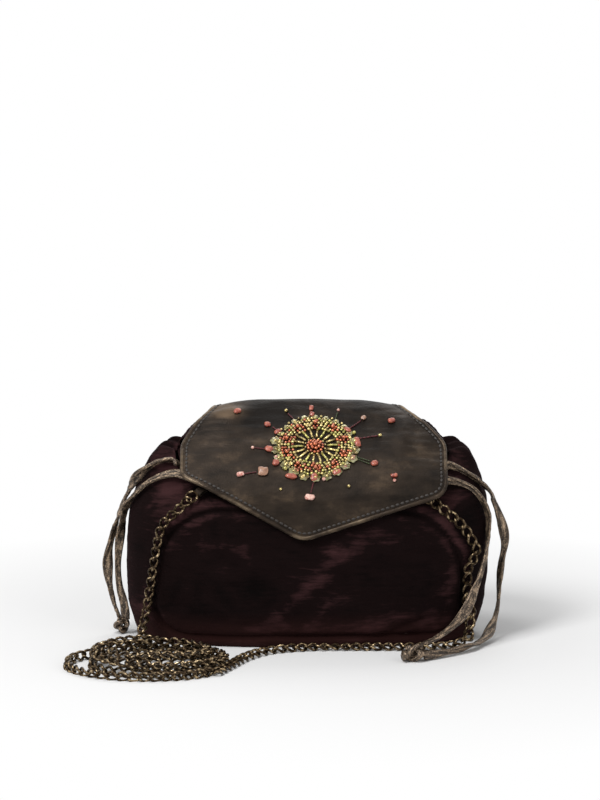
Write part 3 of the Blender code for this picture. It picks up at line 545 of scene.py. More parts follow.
@dataclass(frozen=True)
class BagSatin:
    """Dark brown acetate satin: smooth warp floats that shine in soft bands."""

    name: str = "bag_satin"

    def material(self) -> Material:
        """Build the node material."""
        made, tree, shader = principled(self.name, 0.45, 0.0)
        waves = add_node(tree, "TexNoise", inputs={
            "Vector": scaled_coords(tree, (9.0, 9.0, 30.0)), "Scale": 1.0, "Detail": 3.0,
            "Distortion": 0.5})
        colour = add_node(tree, "ValToRGB", inputs={"Fac": waves.outputs["Fac"]}, stops=(
            (0.3, "#241613"), (0.7, "#4a322b"))).outputs["Color"]
        tree.links.new(colour, shader.inputs["Base Color"])
        shader.inputs["Sheen Weight"].default_value = 0.2
        # Satin threads are 0.15 mm, drawn at 0.5 mm so that they show.
        threads = add_node(tree, "TexNoise", inputs={
            "Vector": scaled_coords(tree, (0.5, 0.5, 3.0)), "Scale": 1.0, "Detail": 1.0})
        bump = add_node(tree, "Bump", inputs={
            "Strength": 0.25, "Distance": 0.3 * MM, "Height": threads.outputs["Fac"]})
        tree.links.new(bump.outputs["Normal"], shader.inputs["Normal"])
        return made


@dataclass(frozen=True)
class AntiqueBrass:
    """Tumbled antique-brass plate, bright on the scuffed outer wire and almost black in the recesses; here
    the bright brass and the dark patina lie in random spots.
    """

    name: str = "antique_brass"
    patina: str = "#17120c"
    mid: str = "#3e3124"
    bright: str = "#bfa985"

    def material(self) -> Material:
        """Build the node material."""
        made, tree, shader = principled(self.name, 0.36, 1.0)
        spots = add_node(tree, "TexNoise", inputs={
            "Vector": scaled_coords(tree, (2.2, 2.2, 2.2)), "Scale": 1.0, "Detail": 4.0,
            "Roughness": 0.6}).outputs["Fac"]
        colour = add_node(tree, "ValToRGB", inputs={"Fac": spots}, stops=(
            (0.30, self.patina), (0.50, self.mid), (0.70, self.bright))).outputs["Color"]
        tree.links.new(colour, shader.inputs["Base Color"])
        dull = add_node(tree, "MapRange", inputs={
            "Value": spots, "From Min": 0.3, "From Max": 0.7, "To Min": 0.55, "To Max": 0.24})
        tree.links.new(dull.outputs["Result"], shader.inputs["Roughness"])
        bump = add_node(tree, "Bump", inputs={"Strength": 0.15, "Distance": 0.2 * MM, "Height": spots})
        tree.links.new(bump.outputs["Normal"], shader.inputs["Normal"])
        return made


@dataclass(frozen=True)
class FoiledGlass:
    """Silver-lined glass beads: clear coloured glass over foil, so each bead has a hard bright point."""

    name: str
    deep: str
    light: str
    metallic: float = 0.55
    roughness: float = 0.2
    patch_mm: float = 1.6

    def material(self) -> Material:
        """Build the node material."""
        made, tree, shader = principled(self.name, self.roughness, self.metallic)
        mottle = add_node(tree, "TexNoise", inputs={
            "Vector": scaled_coords(tree, (self.patch_mm,) * 3), "Scale": 1.0, "Detail": 2.0})
        colour = add_node(tree, "ValToRGB", inputs={"Fac": mottle.outputs["Fac"]}, stops=(
            (0.36, self.deep), (0.64, self.light))).outputs["Color"]
        tree.links.new(colour, shader.inputs["Base Color"])
        shader.inputs["Coat Weight"].default_value = 0.6
        shader.inputs["Coat Roughness"].default_value = 0.08
        return made


@dataclass(frozen=True)
class TumbledStone:
    """Tumbled coral and quartz chips: waxy, translucent at the edge, veined paler."""

    name: str
    deep: str
    light: str

    def material(self) -> Material:
        """Build the node material."""
        made, tree, shader = principled(self.name, 0.3, 0.0)
        veins = add_node(tree, "TexNoise", inputs={
            "Vector": scaled_coords(tree, (1.8, 1.8, 1.8)), "Scale": 1.0, "Detail": 4.0,
            "Distortion": 0.8}).outputs["Fac"]
        colour = add_node(tree, "ValToRGB", inputs={"Fac": veins}, stops=(
            (0.34, self.deep), (0.66, self.light))).outputs["Color"]
        tree.links.new(colour, shader.inputs["Base Color"])
        shader.inputs["Coat Weight"].default_value = 0.3
        bump = add_node(tree, "Bump", inputs={"Strength": 0.3, "Distance": 0.3 * MM, "Height": veins})
        tree.links.new(bump.outputs["Normal"], shader.inputs["Normal"])
        return made


@dataclass(frozen=True)
class WaxedThread:
    """Bonded polyester thread: smooth, slightly waxy, with a visible twist."""

    name: str = "waxed_thread"
    colour: str = "#2a231d"

    def material(self) -> Material:
        """Build the node material."""
        made, tree, shader = principled(self.name, 0.5, 0.1)
        twist = add_node(tree, "TexNoise", inputs={
            "Vector": scaled_coords(tree, (0.6, 0.6, 0.6)), "Scale": 1.0, "Detail": 1.0})
        colour = add_node(tree, "ValToRGB", inputs={"Fac": twist.outputs["Fac"]}, stops=(
            (0.3, "#1c1713"), (0.7, self.colour))).outputs["Color"]
        tree.links.new(colour, shader.inputs["Base Color"])
        return made


class Finishes:
    """Every finish of the bag, built once."""

    def __init__(self) -> None:
        """Build the materials."""
        self.velvet = CrushedVelvet().material()
        self.casing = CrushedVelvet("casing_velvet", "#0d0707", "#1f1212", "#4a3032", "#2b1816").material()
        self.leather = BronzeLeather().material()
        # The rim is a paler copy of the leather: scuffed edges and a painted highlight along the rolled edge.
        self.rim = BronzeLeather("bronze_leather_rim", "#1f1a16", "#3b3128", "#84735e", 0.3, 0.3).material()
        self.satin = BagSatin().material()
        self.ribbon = TissueRibbon().material()
        self.brass = AntiqueBrass().material()
        self.thread = WaxedThread().material()
        self.copper = FoiledGlass("copper_bead", "#6c2810", "#d8784a").material()
        self.gold = FoiledGlass("gold_bead", "#5c4a18", "#e6cf86").material()
        self.olive = FoiledGlass("olive_sequin", "#6a621c", "#d4cc70", 0.4, 0.24, 2.4).material()
        self.sequin = FoiledGlass("cream_sequin", "#a09a58", "#f4eebc", 0.3, 0.22, 2.0).material()
        self.coral = TumbledStone("coral_chip", "#7a2c22", "#c06a50").material()
        self.rose = TumbledStone("rose_quartz", "#b4685a", "#ecc4b4").material()
        self.beige = TumbledStone("beige_stone", "#7a5440", "#b08468").material()
        self.silk = WaxedThread("stem_silk", "#6a1c26").material()
        self.leaf = WaxedThread("leaf_silk", "#3c4a1e").material()


# The pouch's form: the CAD model's, but wider, fuller at its base and with raised shoulders


@dataclass(frozen=True)
class PouchForm:
    """Outer surface of the pouch, read by level t from 0 to 8 and by the angle around it."""

    half_width: float = 110.8 * MM
    front_depth: float = 42.0 * MM
    back_depth: float = 41.0 * MM
    side_height: float = 109.0 * MM
    front_dip: float = 18.0 * MM
    back_rise: float = 17.0 * MM
    lean_to_right: float = 4.0 * MM
    squareness: float = 2.6
    mouth: float = 8.0
    shoulder_puff: float = 12.0 * MM
    casing_rise: float = 7.9 * MM
    ripples: int = 10
    ripple_depth: float = 0.8 * MM
    heights: tuple[float, ...] = (0.0, 0.03, 0.106, 0.265, 0.53, 0.768, 0.884, 0.952, 1.0)
    widths: tuple[float, ...] = (0.875, 0.922, 0.955, 0.988, 1.0, 0.977, 0.926, 0.852, 0.756)
    depths: tuple[float, ...] = (0.93, 0.965, 0.985, 1.0, 1.0, 0.96, 0.905, 0.835, 0.76)
    leans: tuple[float, ...] = (0.0, 0.0, 0.0, 0.2, 0.38, 0.62, 0.85, 1.0, 1.0)
    dips: tuple[float, ...] = (0.0, 0.0, 0.0, 0.0, 0.0, 0.26, 0.58, 0.84, 1.0)
    rises: tuple[float, ...] = (0.0, 0.0, 0.0, 0.0, 0.0, 0.15, 0.45, 0.73, 1.0)

    def point(self, t: float, angle: float, inset: float = 0.0) -> Vector:
        """Point on the surface.

        Args:
            t: Level, from the base at 0 to the mouth at 8.
            angle: Angle around the pouch, in radians, 0 at its right.
            inset: Distance inwards.

        Returns:
            The point.
        """
        c, s = math.cos(angle), math.sin(angle)
        front = s < 0.0
        middle = 1.0 - (1.0 - s * s) ** 2
        width = smooth_value(self.widths, t) * self.half_width - inset
        depth = smooth_value(self.depths, t) * (self.front_depth if front else self.back_depth) - inset
        height = smooth_value(self.heights, t) * self.side_height
        if front:
            height -= smooth_value(self.dips, t) * self.front_dip * middle
        else:
            height += smooth_value(self.rises, t) * self.back_rise * middle
        # The gathers stand up at both sides, behind the ribbons.
        puff = 1.0 - ease(-s / 0.3) if front else 1.0 - ease((s - 0.35) / 0.4)
        height += self.shoulder_puff * puff * ease((t - 5.2) / 1.9) * (1.0 - 0.5 * ease((t - 7.1) / 0.9))
        power = 2.0 / self.squareness
        x = smooth_value(self.leans, t) * self.lean_to_right + width * math.copysign(abs(c) ** power, c)
        return Vector((x, depth * math.copysign(abs(s) ** power, s), height))

    def normal(self, t: float, angle: float) -> Vector:
        """Outward direction at a level and angle."""
        along = self.point(t, angle + 0.02) - self.point(t, angle - 0.02)
        up = self.point(t + 0.02, angle) - self.point(t - 0.02, angle)
        return along.cross(up).normalized()

    def held_off(self, t: float, angle: float, distance: float) -> Vector:
        """Point held off the surface by a distance."""
        return self.point(t, angle) + self.normal(t, angle) * distance

    def casing_axes(self, angle: float) -> tuple[Vector, Vector, Vector]:
        """Middle of the drawstring casing, its height direction and its thickness direction.

        Args:
            angle: Angle around the pouch, in radians.

        Returns:
            Middle, up and across.
        """
        seat = self.point(self.mouth, angle, 1.0 * MM)
        out = self.normal(0.5 * self.mouth, angle)
        out.z = 0.0
        out.normalize()
        lean = math.radians(38.0 + 22.0 * math.cos(angle) ** 2)
        up = Vector((0.0, 0.0, math.cos(lean))) - out * math.sin(lean)
        across = out * math.cos(lean) + Vector((0.0, 0.0, math.sin(lean)))
        return seat + up * self.casing_rise, up, across

    def casing_ripple(self, angle: float) -> float:
        """How far the casing waves in and out at an angle."""
        return self.ripple_depth * math.cos(self.ripples * angle)


# Sub-assemblies


@dataclass
class VelvetBody:
    """The velvet pouch: one shell with gathers, panel seams and crushed creases."""

    form: PouchForm
    finishes: Finishes
    columns: int = 240
    rows: int = 112
    wall: float = 2.0 * MM
    panel_left: float = -92.0 * MM
    panel_right: float = 95.0 * MM
    panel_low: float = 7.0 * MM
    panel_high: float = 84.0 * MM
    panel_radius: float = 44.0 * MM
    panel_low_radius: float = 20.0 * MM
    seam_depth: float = 2.2 * MM
    base_share: float = 0.06
    # Relief of the cloth: height in mm, then waves in a metre across and up
    crush: tuple[tuple[float, float, float], ...] = (
        (1.3, 26.0, 26.0), (0.55, 30.0, 120.0), (0.22, 80.0, 340.0))
    gathers: int = 30
    gather_depth: float = 2.6 * MM
    # Soft creases of the front: start x, z, end x, z, depth and width, in mm
    front_creases: tuple[tuple[float, ...], ...] = (
        (44.0, 7.0, 74.0, 17.0, 1.9, 2.4),
        (52.0, 5.0, 84.0, 12.0, 1.2, 1.8),
        (-22.0, 22.0, 24.0, 58.0, -1.2, 7.0),
        (-70.0, 62.0, -44.0, 52.0, 1.1, 5.0),
        (60.0, 66.0, 82.0, 50.0, 1.2, 5.0),
        (-86.0, 30.0, -66.0, 18.0, 1.0, 4.0),
        (10.0, 12.0, 38.0, 9.0, 0.8, 3.0),
        (-40.0, 14.0, -12.0, 10.0, 0.8, 3.0),
    )
    # Painted sheen patches on the pile: x, z, length and height in mm, slope, strength
    sheen_patches: tuple[tuple[float, ...], ...] = (
        (-54.0, 62.0, 14.0, 5.0, 0.0, 0.9),
        (0.0, 36.0, 30.0, 7.0, 0.85, 1.0),
        (16.0, 58.0, 22.0, 6.0, 0.3, 0.7),
        (60.0, 50.0, 22.0, 22.0, 0.0, 0.35),
        (40.0, 26.0, 26.0, 9.0, -0.2, 0.5),
        (-20.0, 14.0, 60.0, 4.0, 0.0, 0.45),
        (30.0, 10.0, 60.0, 4.5, 0.0, 0.6),
        (-82.0, 100.0, 16.0, 16.0, 0.0, 1.0),
        (90.0, 104.0, 14.0, 18.0, 0.0, 1.0),
        (88.0, 60.0, 6.0, 30.0, 0.0, 0.4),
    )

    def seam_distance(self, p: Vector) -> float:
        """Signed distance from the panel's outline, seen from the front.

        Args:
            p: Point on the shell.

        Returns:
            Distance in metres, negative inside the panel.
        """
        cx = 0.5 * (self.panel_left + self.panel_right)
        cz = 0.5 * (self.panel_low + self.panel_high)
        radius = self.panel_radius if p.z > cz else self.panel_low_radius
        qx = abs(p.x - cx) - (0.5 * (self.panel_right - self.panel_left) - radius)
        qz = abs(p.z - cz) - (0.5 * (self.panel_high - self.panel_low) - radius)
        return math.hypot(max(qx, 0.0), max(qz, 0.0)) + min(max(qx, qz), 0.0) - radius

    def relief(self, t: float, angle: float, p: Vector) -> float:
        """How far the cloth stands off the smooth form.

        Args:
            t: Level.
            angle: Angle around the pouch.
            p: Point on the smooth form.

        Returns:
            Distance outwards, in metres.
        """
        drawn = ease((t - 4.3) / 3.7)
        wander = 2.2 * noise.noise(Vector((3.0 * math.cos(angle), 3.0 * math.sin(angle), 0.35 * t)))
        deep = 0.62 + 0.38 * noise.noise(Vector((5.0 * math.cos(angle), 5.0 * math.sin(angle), 4.0)))
        pleat = 0.5 - 0.5 * math.cos(self.gathers * angle + wander)
        lift = -self.gather_depth * drawn * deep * pleat
        for height, across, up in self.crush:
            lift += height * MM * noise.noise(Vector((p.x * across, p.y * across, p.z * up)))
        edge = self.seam_distance(p)
        lift -= self.seam_depth * hump(edge, 1.5 * MM)
        lift += 0.7 * MM * hump(edge + 4.0 * MM, 3.0 * MM) + 0.5 * MM * hump(edge - 4.0 * MM, 3.0 * MM)
        along = math.atan2(p.z - 45.0 * MM, p.x)
        lift += 0.45 * MM * hump(edge, 7.0 * MM) * noise.noise(Vector((14.0 * along, 3.0, 0.0)))
        if p.y < 0.0:
            for x0, z0, x1, z1, depth, width in self.front_creases:
                start, run = Vector((x0, z0)) * MM, Vector((x1 - x0, z1 - z0)) * MM
                flat = Vector((p.x, p.z))
                share = min(max((flat - start).dot(run) / run.length_squared, 0.0), 1.0)
                away = (flat - start - run * share).length
                ends = min(1.0, 4.0 * share * (1.0 - share) + 0.25)
                lift -= depth * MM * ends * hump(away, width * MM)
        return lift * ease(p.z / (4.0 * MM))

    def nap(self, p: Vector) -> float:
        """How much painted sheen the pile gets at a point: sheen patches, a painted highlight beside the
        panel seam and painted shade along it.
        """
        total = 0.0
        for x, z, length, height, slope, strength in self.sheen_patches:
            dx, dz = p.x / MM - x, p.z / MM - z
            total += strength * math.exp(-((dx / length) ** 2) - (((dz - slope * dx) / height) ** 2))
        # Painted shade in the panel seam, with a painted highlight on each side of it.
        edge = self.seam_distance(p)
        beside = 0.45 * hump(edge - 4.5 * MM, 3.0 * MM) + 0.2 * hump(edge + 4.0 * MM, 2.5 * MM)
        return total + beside - 0.8 * hump(edge, 1.4 * MM)

    def place(self, u: float, v: float) -> Vector:
        """Point of the shell for a share around it and a share up from the middle of its base."""
        angle = 2.0 * math.pi * u
        if v < self.base_share:
            return self.form.point(0.0, angle) * (v / self.base_share)
        t = self.form.mouth * (v - self.base_share) / (1.0 - self.base_share)
        p = self.form.point(t, angle)
        return p + self.form.normal(max(t, 0.03), angle) * self.relief(t, angle, p)

    def build(self) -> Piece:
        """Make the shell."""
        bm = warped_grid(self.columns, self.rows, self.place)
        turn_outwards(bm, Vector((0.0, 0.0, 0.05)))
        piece = finish_piece("velvet_pouch", bm, self.finishes.velvet, Body.BAG, "velvet",
                             ("velvet_gusset", "velvet_front_panel", "velvet_back_panel"))
        # Painted sheen and painted seam shade, stored on each vertex.
        nap = piece.data.attributes.new("nap", "FLOAT", "POINT")
        for vert, value in zip(piece.data.vertices, nap.data):
            value.value = self.nap(vert.co)
        add_wall(piece, self.wall, -1.0)
        return piece


@dataclass
class MouthCasing:
    """Gathered velvet tunnel round the mouth, open at both sides for the strings."""

    form: PouchForm
    finishes: Finishes
    height: float = 12.0 * MM
    thickness: float = 6.2 * MM
    ruffles: int = 64
    ruffle_depth: float = 0.55 * MM
    exit_angle: float = math.radians(14.0)
    wall: float = 0.8 * MM

    def half(self, name: str, start: float, node: str) -> None:
        """Make half of the tunnel.

        Args:
            name: Name of the piece.
            start: Angle of the exit that it begins at.
            node: CAD node that it stands for.
        """

        def place(u: float, v: float) -> Vector:
            """Point for a share along the tunnel and a share around it."""
            angle = start + 0.5 * self.exit_angle + (math.pi - self.exit_angle) * u
            turn = 2.0 * math.pi * v
            middle, up, across = self.form.casing_axes(angle)
            gather = math.cos(self.ruffles * angle + 1.6 * noise.noise(Vector((4.0 * angle, 0.0, 0.0))))
            tall = 0.5 * self.height * math.sin(turn)
            thick = 0.5 * self.thickness * math.copysign(abs(math.cos(turn)) ** 0.7, math.cos(turn))
            swell = 1.0 + self.ruffle_depth * gather / self.thickness * 2.0 - 0.10 * hump(tall, 1.0 * MM)
            return middle + up * tall + across * (thick * swell + self.form.casing_ripple(angle))

        bm = warped_grid(220, 22, place)
        turn_outwards(bm, Vector((0.002, 0.0, 0.112)))
        bmesh.ops.recalc_face_normals(bm, faces=bm.faces)
        piece = finish_piece(name, bm, self.finishes.casing, Body.BAG, "velvet_trim", (node,))
        add_wall(piece, self.wall, 0.0)

    def build(self) -> None:
        """Make both halves."""
        self.half("mouth_casing_back", 0.0, "casing_back_half")
        self.half("mouth_casing_front", math.pi, "casing_front_half")


@dataclass
class SatinLining:
    """Loose satin bag inside the pouch."""

    form: PouchForm
    finishes: Finishes
    base_share: float = 0.08
    base_height: float = 5.0 * MM
    wall: float = 0.8 * MM

    def place(self, u: float, v: float) -> Vector:
        """Point of the lining for a share around it and a share up from the middle of its base."""
        angle = 2.0 * math.pi * u
        if v < self.base_share:
            rim = self.form.held_off(0.0, angle, -3.4 * MM)
            return Vector((rim.x * v / self.base_share, rim.y * v / self.base_share, self.base_height))
        t = (self.form.mouth - 0.2) * (v - self.base_share) / (1.0 - self.base_share)
        p = self.form.held_off(t, angle, -(3.6 * MM + 3.2 * MM * ease((t - 4.3) / 3.7)))
        p.z += 2.3 * MM * max(0.0, 1.0 - t / 3.0)
        slack = 1.1 * MM * noise.noise(Vector((9.0 * math.cos(angle), 9.0 * math.sin(angle), 0.5 * t)))
        return p + self.form.normal(t, angle) * (-abs(slack))

    def build(self) -> None:
        """Make the lining."""
        bm = warped_grid(120, 48, self.place)
        turn_outwards(bm, Vector((0.0, 0.0, 0.05)))
        piece = finish_piece("satin_bag", bm, self.finishes.satin, Body.BAG, "satin_lining",
                             ("satin_lining_bag",))
        add_wall(piece, self.wall, -1.0)


@dataclass(frozen=True)
class RibbonRoute:
    """One hanging ribbon: over the shoulder by level and degrees, then free points in mm."""

    name: str
    node: str
    knot: str
    on_top: tuple[tuple[float, float], ...]
    free: tuple[tuple[float, float, float], ...]
    twists: float
    start_turn: float


RIBBONS = (
    RibbonRoute("left_outer_ribbon", "drawstring_left_outer_end", "left_ribbon_knot",
                ((8.0, -161.0), (7.8, -168.0), (7.0, -170.0), (6.0, -173.0), (5.2, 178.0)),
                ((-112.5, 3.0, 78.0), (-117.0, 4.0, 64.0), (-120.5, 5.0, 50.0), (-121.0, 5.0, 38.0),
                 (-119.5, 5.0, 27.0), (-117.0, 4.0, 17.0), (-114.0, 3.0, 9.6)), 2.0, 0.9),
    RibbonRoute("left_inner_ribbon", "drawstring_left_inner_end", "left_ribbon_knot",
                ((7.9, -148.0), (7.5, -155.0), (6.7, -159.0), (5.7, -163.0), (4.9, -172.0)),
                ((-112.0, -4.0, 68.0), (-113.8, -4.5, 55.0), (-114.5, -4.5, 42.0), (-113.5, -4.5, 30.0),
                 (-111.0, -4.0, 20.0), (-110.0, -2.0, 10.0)), 1.0, 0.2),
    RibbonRoute("right_outer_ribbon", "drawstring_right_outer_end", "right_ribbon_knot",
                ((8.0, -26.0), (7.8, -18.0), (6.9, -16.0), (5.9, -13.0), (5.3, -6.0)),
                ((114.5, 0.0, 84.0), (119.0, 1.0, 72.0), (122.0, 2.0, 58.0), (120.0, 2.0, 44.0),
                 (118.6, 0.0, 30.0), (117.5, -6.0, 18.0), (113.5, -18.0, 8.0), (107.0, -35.0, 3.6),
                 (96.0, -54.0, 3.3), (83.0, -67.0, 3.3), (70.4, -75.0, 3.4)), 3.0, 0.4),
    RibbonRoute("right_inner_ribbon", "drawstring_right_inner_end", "right_ribbon_knot",
                ((7.7, -40.0), (7.3, -32.0), (6.3, -26.0), (5.5, -22.0), (4.8, -17.0)),
                ((111.0, -17.0, 66.0), (109.5, -22.0, 54.0), (106.0, -30.0, 43.0), (101.5, -38.0, 33.0),
                 (96.5, -46.0, 24.0), (89.0, -56.0, 17.5), (79.0, -67.0, 12.5), (70.4, -74.0, 10.2)),
                1.4, 0.1),
)


@dataclass
class Drawstrings:
    """Four ribbon ends of folded tissue and the knots that join them in pairs."""

    form: PouchForm
    finishes: Finishes
    standoff: float = 3.5 * MM
    width: float = 6.6 * MM
    thickness: float = 2.5 * MM
    hidden_radius: float = 0.7 * MM
    hidden_offset: float = 1.1 * MM
    exit_gap: float = math.radians(14.0)

    def ribbon(self, route: RibbonRoute, knot: Piece) -> None:
        """Args:
            route: The ribbon's route and twist.
            knot: The knot at its end; not used.
        """
        points = [self.form.held_off(t, math.radians(a), self.standoff) for t, a in route.on_top]
        points += [Vector(p) * MM for p in route.free]
        line = smooth_path(points, 0.9 * MM)
        frames = frames_along(line, Vector((0.0, -1.0, 0.2)))
        last = len(line) - 1
        seed = 7.0 * len(route.node)

        def place(u: float, v: float) -> Vector:
            """Point for a share around the ribbon and a share along it."""
            here, _, side, up = frames[round(v * last)]
            turn = 2.0 * math.pi * u
            wander = noise.noise(Vector((seed, 9.0 * v, 0.0)))
            twist = route.start_turn + math.pi * route.twists * v + 0.7 * wander
            pinch = 0.80 + 0.22 * math.cos(4.0 * math.pi * route.twists * v) + 0.12 * wander
            flat = math.copysign(abs(math.cos(turn)) ** 0.8, math.cos(turn))
            wide = 0.5 * self.width * min(pinch, 1.0) * flat
            fold = 1.0 - 0.55 * hump(math.cos(turn) - 0.15 * wander, 0.28)
            thick = 0.5 * self.thickness * (1.35 - 0.4 * pinch) * math.sin(turn) * fold
            thick += 0.35 * MM * noise.noise(Vector((2.0 * math.cos(turn), seed, 46.0 * v)))
            c, s = math.cos(twist), math.sin(twist)
            return here + side * (wide * c - thick * s) + up * (wide * s + thick * c)

        bm = warped_grid(20, last, place)
        close_tube(bm)
        piece = finish_piece(route.name, bm, self.finishes.ribbon, Body.BAG, "ribbon", (route.node,))
        path_length(line)

    def knot(
        self, name: str, node: str, centre: Vector, ahead: Vector, size: float, tail: bool
    ) -> Piece:
        """Pulled-tight overhand knot of two ribbons.

        Args:
            name: Name of the piece.
            node: CAD node that it stands for.
            centre: Its middle, in metres.
            ahead: Direction in which the ribbon's cut ends leave it.
            size: Half its length, in metres.
            tail: Whether the cut ends stand out.

        Returns:
            The knot.
        """
        side = ahead.cross(Vector((0.0, 0.0, 1.0))).normalized()
        up = side.cross(ahead).normalized()

        def wrap(u: float, v: float) -> Vector:
            """Point for a share around the cloth and a share along its turns."""
            theta = 6.0 * math.pi * v
            reach = 0.52 + 0.24 * math.cos(1.5 * theta)
            core = (ahead * (size * 0.62 * math.sin(1.5 * theta))
                    + side * (size * reach * math.cos(theta)) + up * (size * reach * math.sin(theta)))
            out = (side * math.cos(theta) + up * math.sin(theta)).normalized()
            turn = 2.0 * math.pi * u
            rough = noise.noise(Vector((3.0 * v, 5.0 * math.cos(turn), 2.0 * math.sin(turn))))
            fat = 0.30 * size * (1.0 + 0.18 * rough)
            ridge = 1.0 + 0.12 * math.cos(5.0 * turn)
            return centre + core + (out * math.cos(turn) + ahead * (1.35 * math.sin(turn))) * (fat * ridge)

        bm = warped_grid(16, 150, wrap)
        bmesh.ops.recalc_face_normals(bm, faces=bm.faces)
        if tail:
            for lean in (-0.5, 0.35):
                end = centre + ahead * (1.35 * size) + side * (lean * size) - up * (0.3 * size)
                spread = (end - centre).normalized()
                matrix = axes_matrix((centre + end) * 0.5, up, spread.cross(up).normalized(), spread)
                add_shape(bm, bmesh.ops.create_cone, matrix, segments=8, radius1=0.34 * size,
                          radius2=0.5 * size, depth=(end - centre).length, cap_ends=True)
        return finish_piece(name, bm, self.finishes.ribbon, Body.BAG, "ribbon", (node,))

    def hidden_run(self, name: str, node: str, start: float, level: float) -> None:
        """String inside the casing.

        Args:
            name: Name of the piece.
            node: CAD node that it stands for.
            start: Angle of the exit that it leaves from.
            level: 1 for the upper string, -1 for the lower.
        """
        line = []
        steps = 120
        for k in range(steps + 1):
            angle = start + self.exit_gap + 2.0 * (math.pi - self.exit_gap) * k / steps
            middle, up, across = self.form.casing_axes(angle)
            line.append(middle + up * (level * self.hidden_offset) + across * self.form.casing_ripple(angle))
        frames = frames_along(line, Vector((0.0, 0.0, 1.0)))

        def place(u: float, v: float) -> Vector:
            """Point for a share around the string and a share along it."""
            here, _, side, up = frames[round(v * steps)]
            turn = 2.0 * math.pi * u
            across, tall = self.hidden_radius * math.cos(turn), self.hidden_radius * math.sin(turn)
            return here + side * across + up * tall

        bm = warped_grid(8, steps, place)
        close_tube(bm)
        finish_piece(name, bm, self.finishes.ribbon, Body.BAG, "ribbon", (node,))

    def build(self) -> None:
        """Make the knots and the ribbons."""
        knots = {
            "left_ribbon_knot": self.knot("left_ribbon_knot", "left_knot", Vector((-112.5, 1.0, 5.2)) * MM,
                                          Vector((0.2, -1.0, 0.0)).normalized(), 4.9 * MM, False),
            "right_ribbon_knot": self.knot("right_ribbon_knot", "right_knot", Vector((65.0, -76.3, 5.4)) * MM,
                                           Vector((-1.0, -0.12, 0.0)).normalized(), 5.4 * MM, True),
        }
        for route in RIBBONS:
            self.ribbon(route, knots[route.knot])
        self.hidden_run("lower_casing_string", "drawstring_left_hidden_run", math.pi, -1.0)
        self.hidden_run("upper_casing_string", "drawstring_right_hidden_run", 0.0, 1.0)


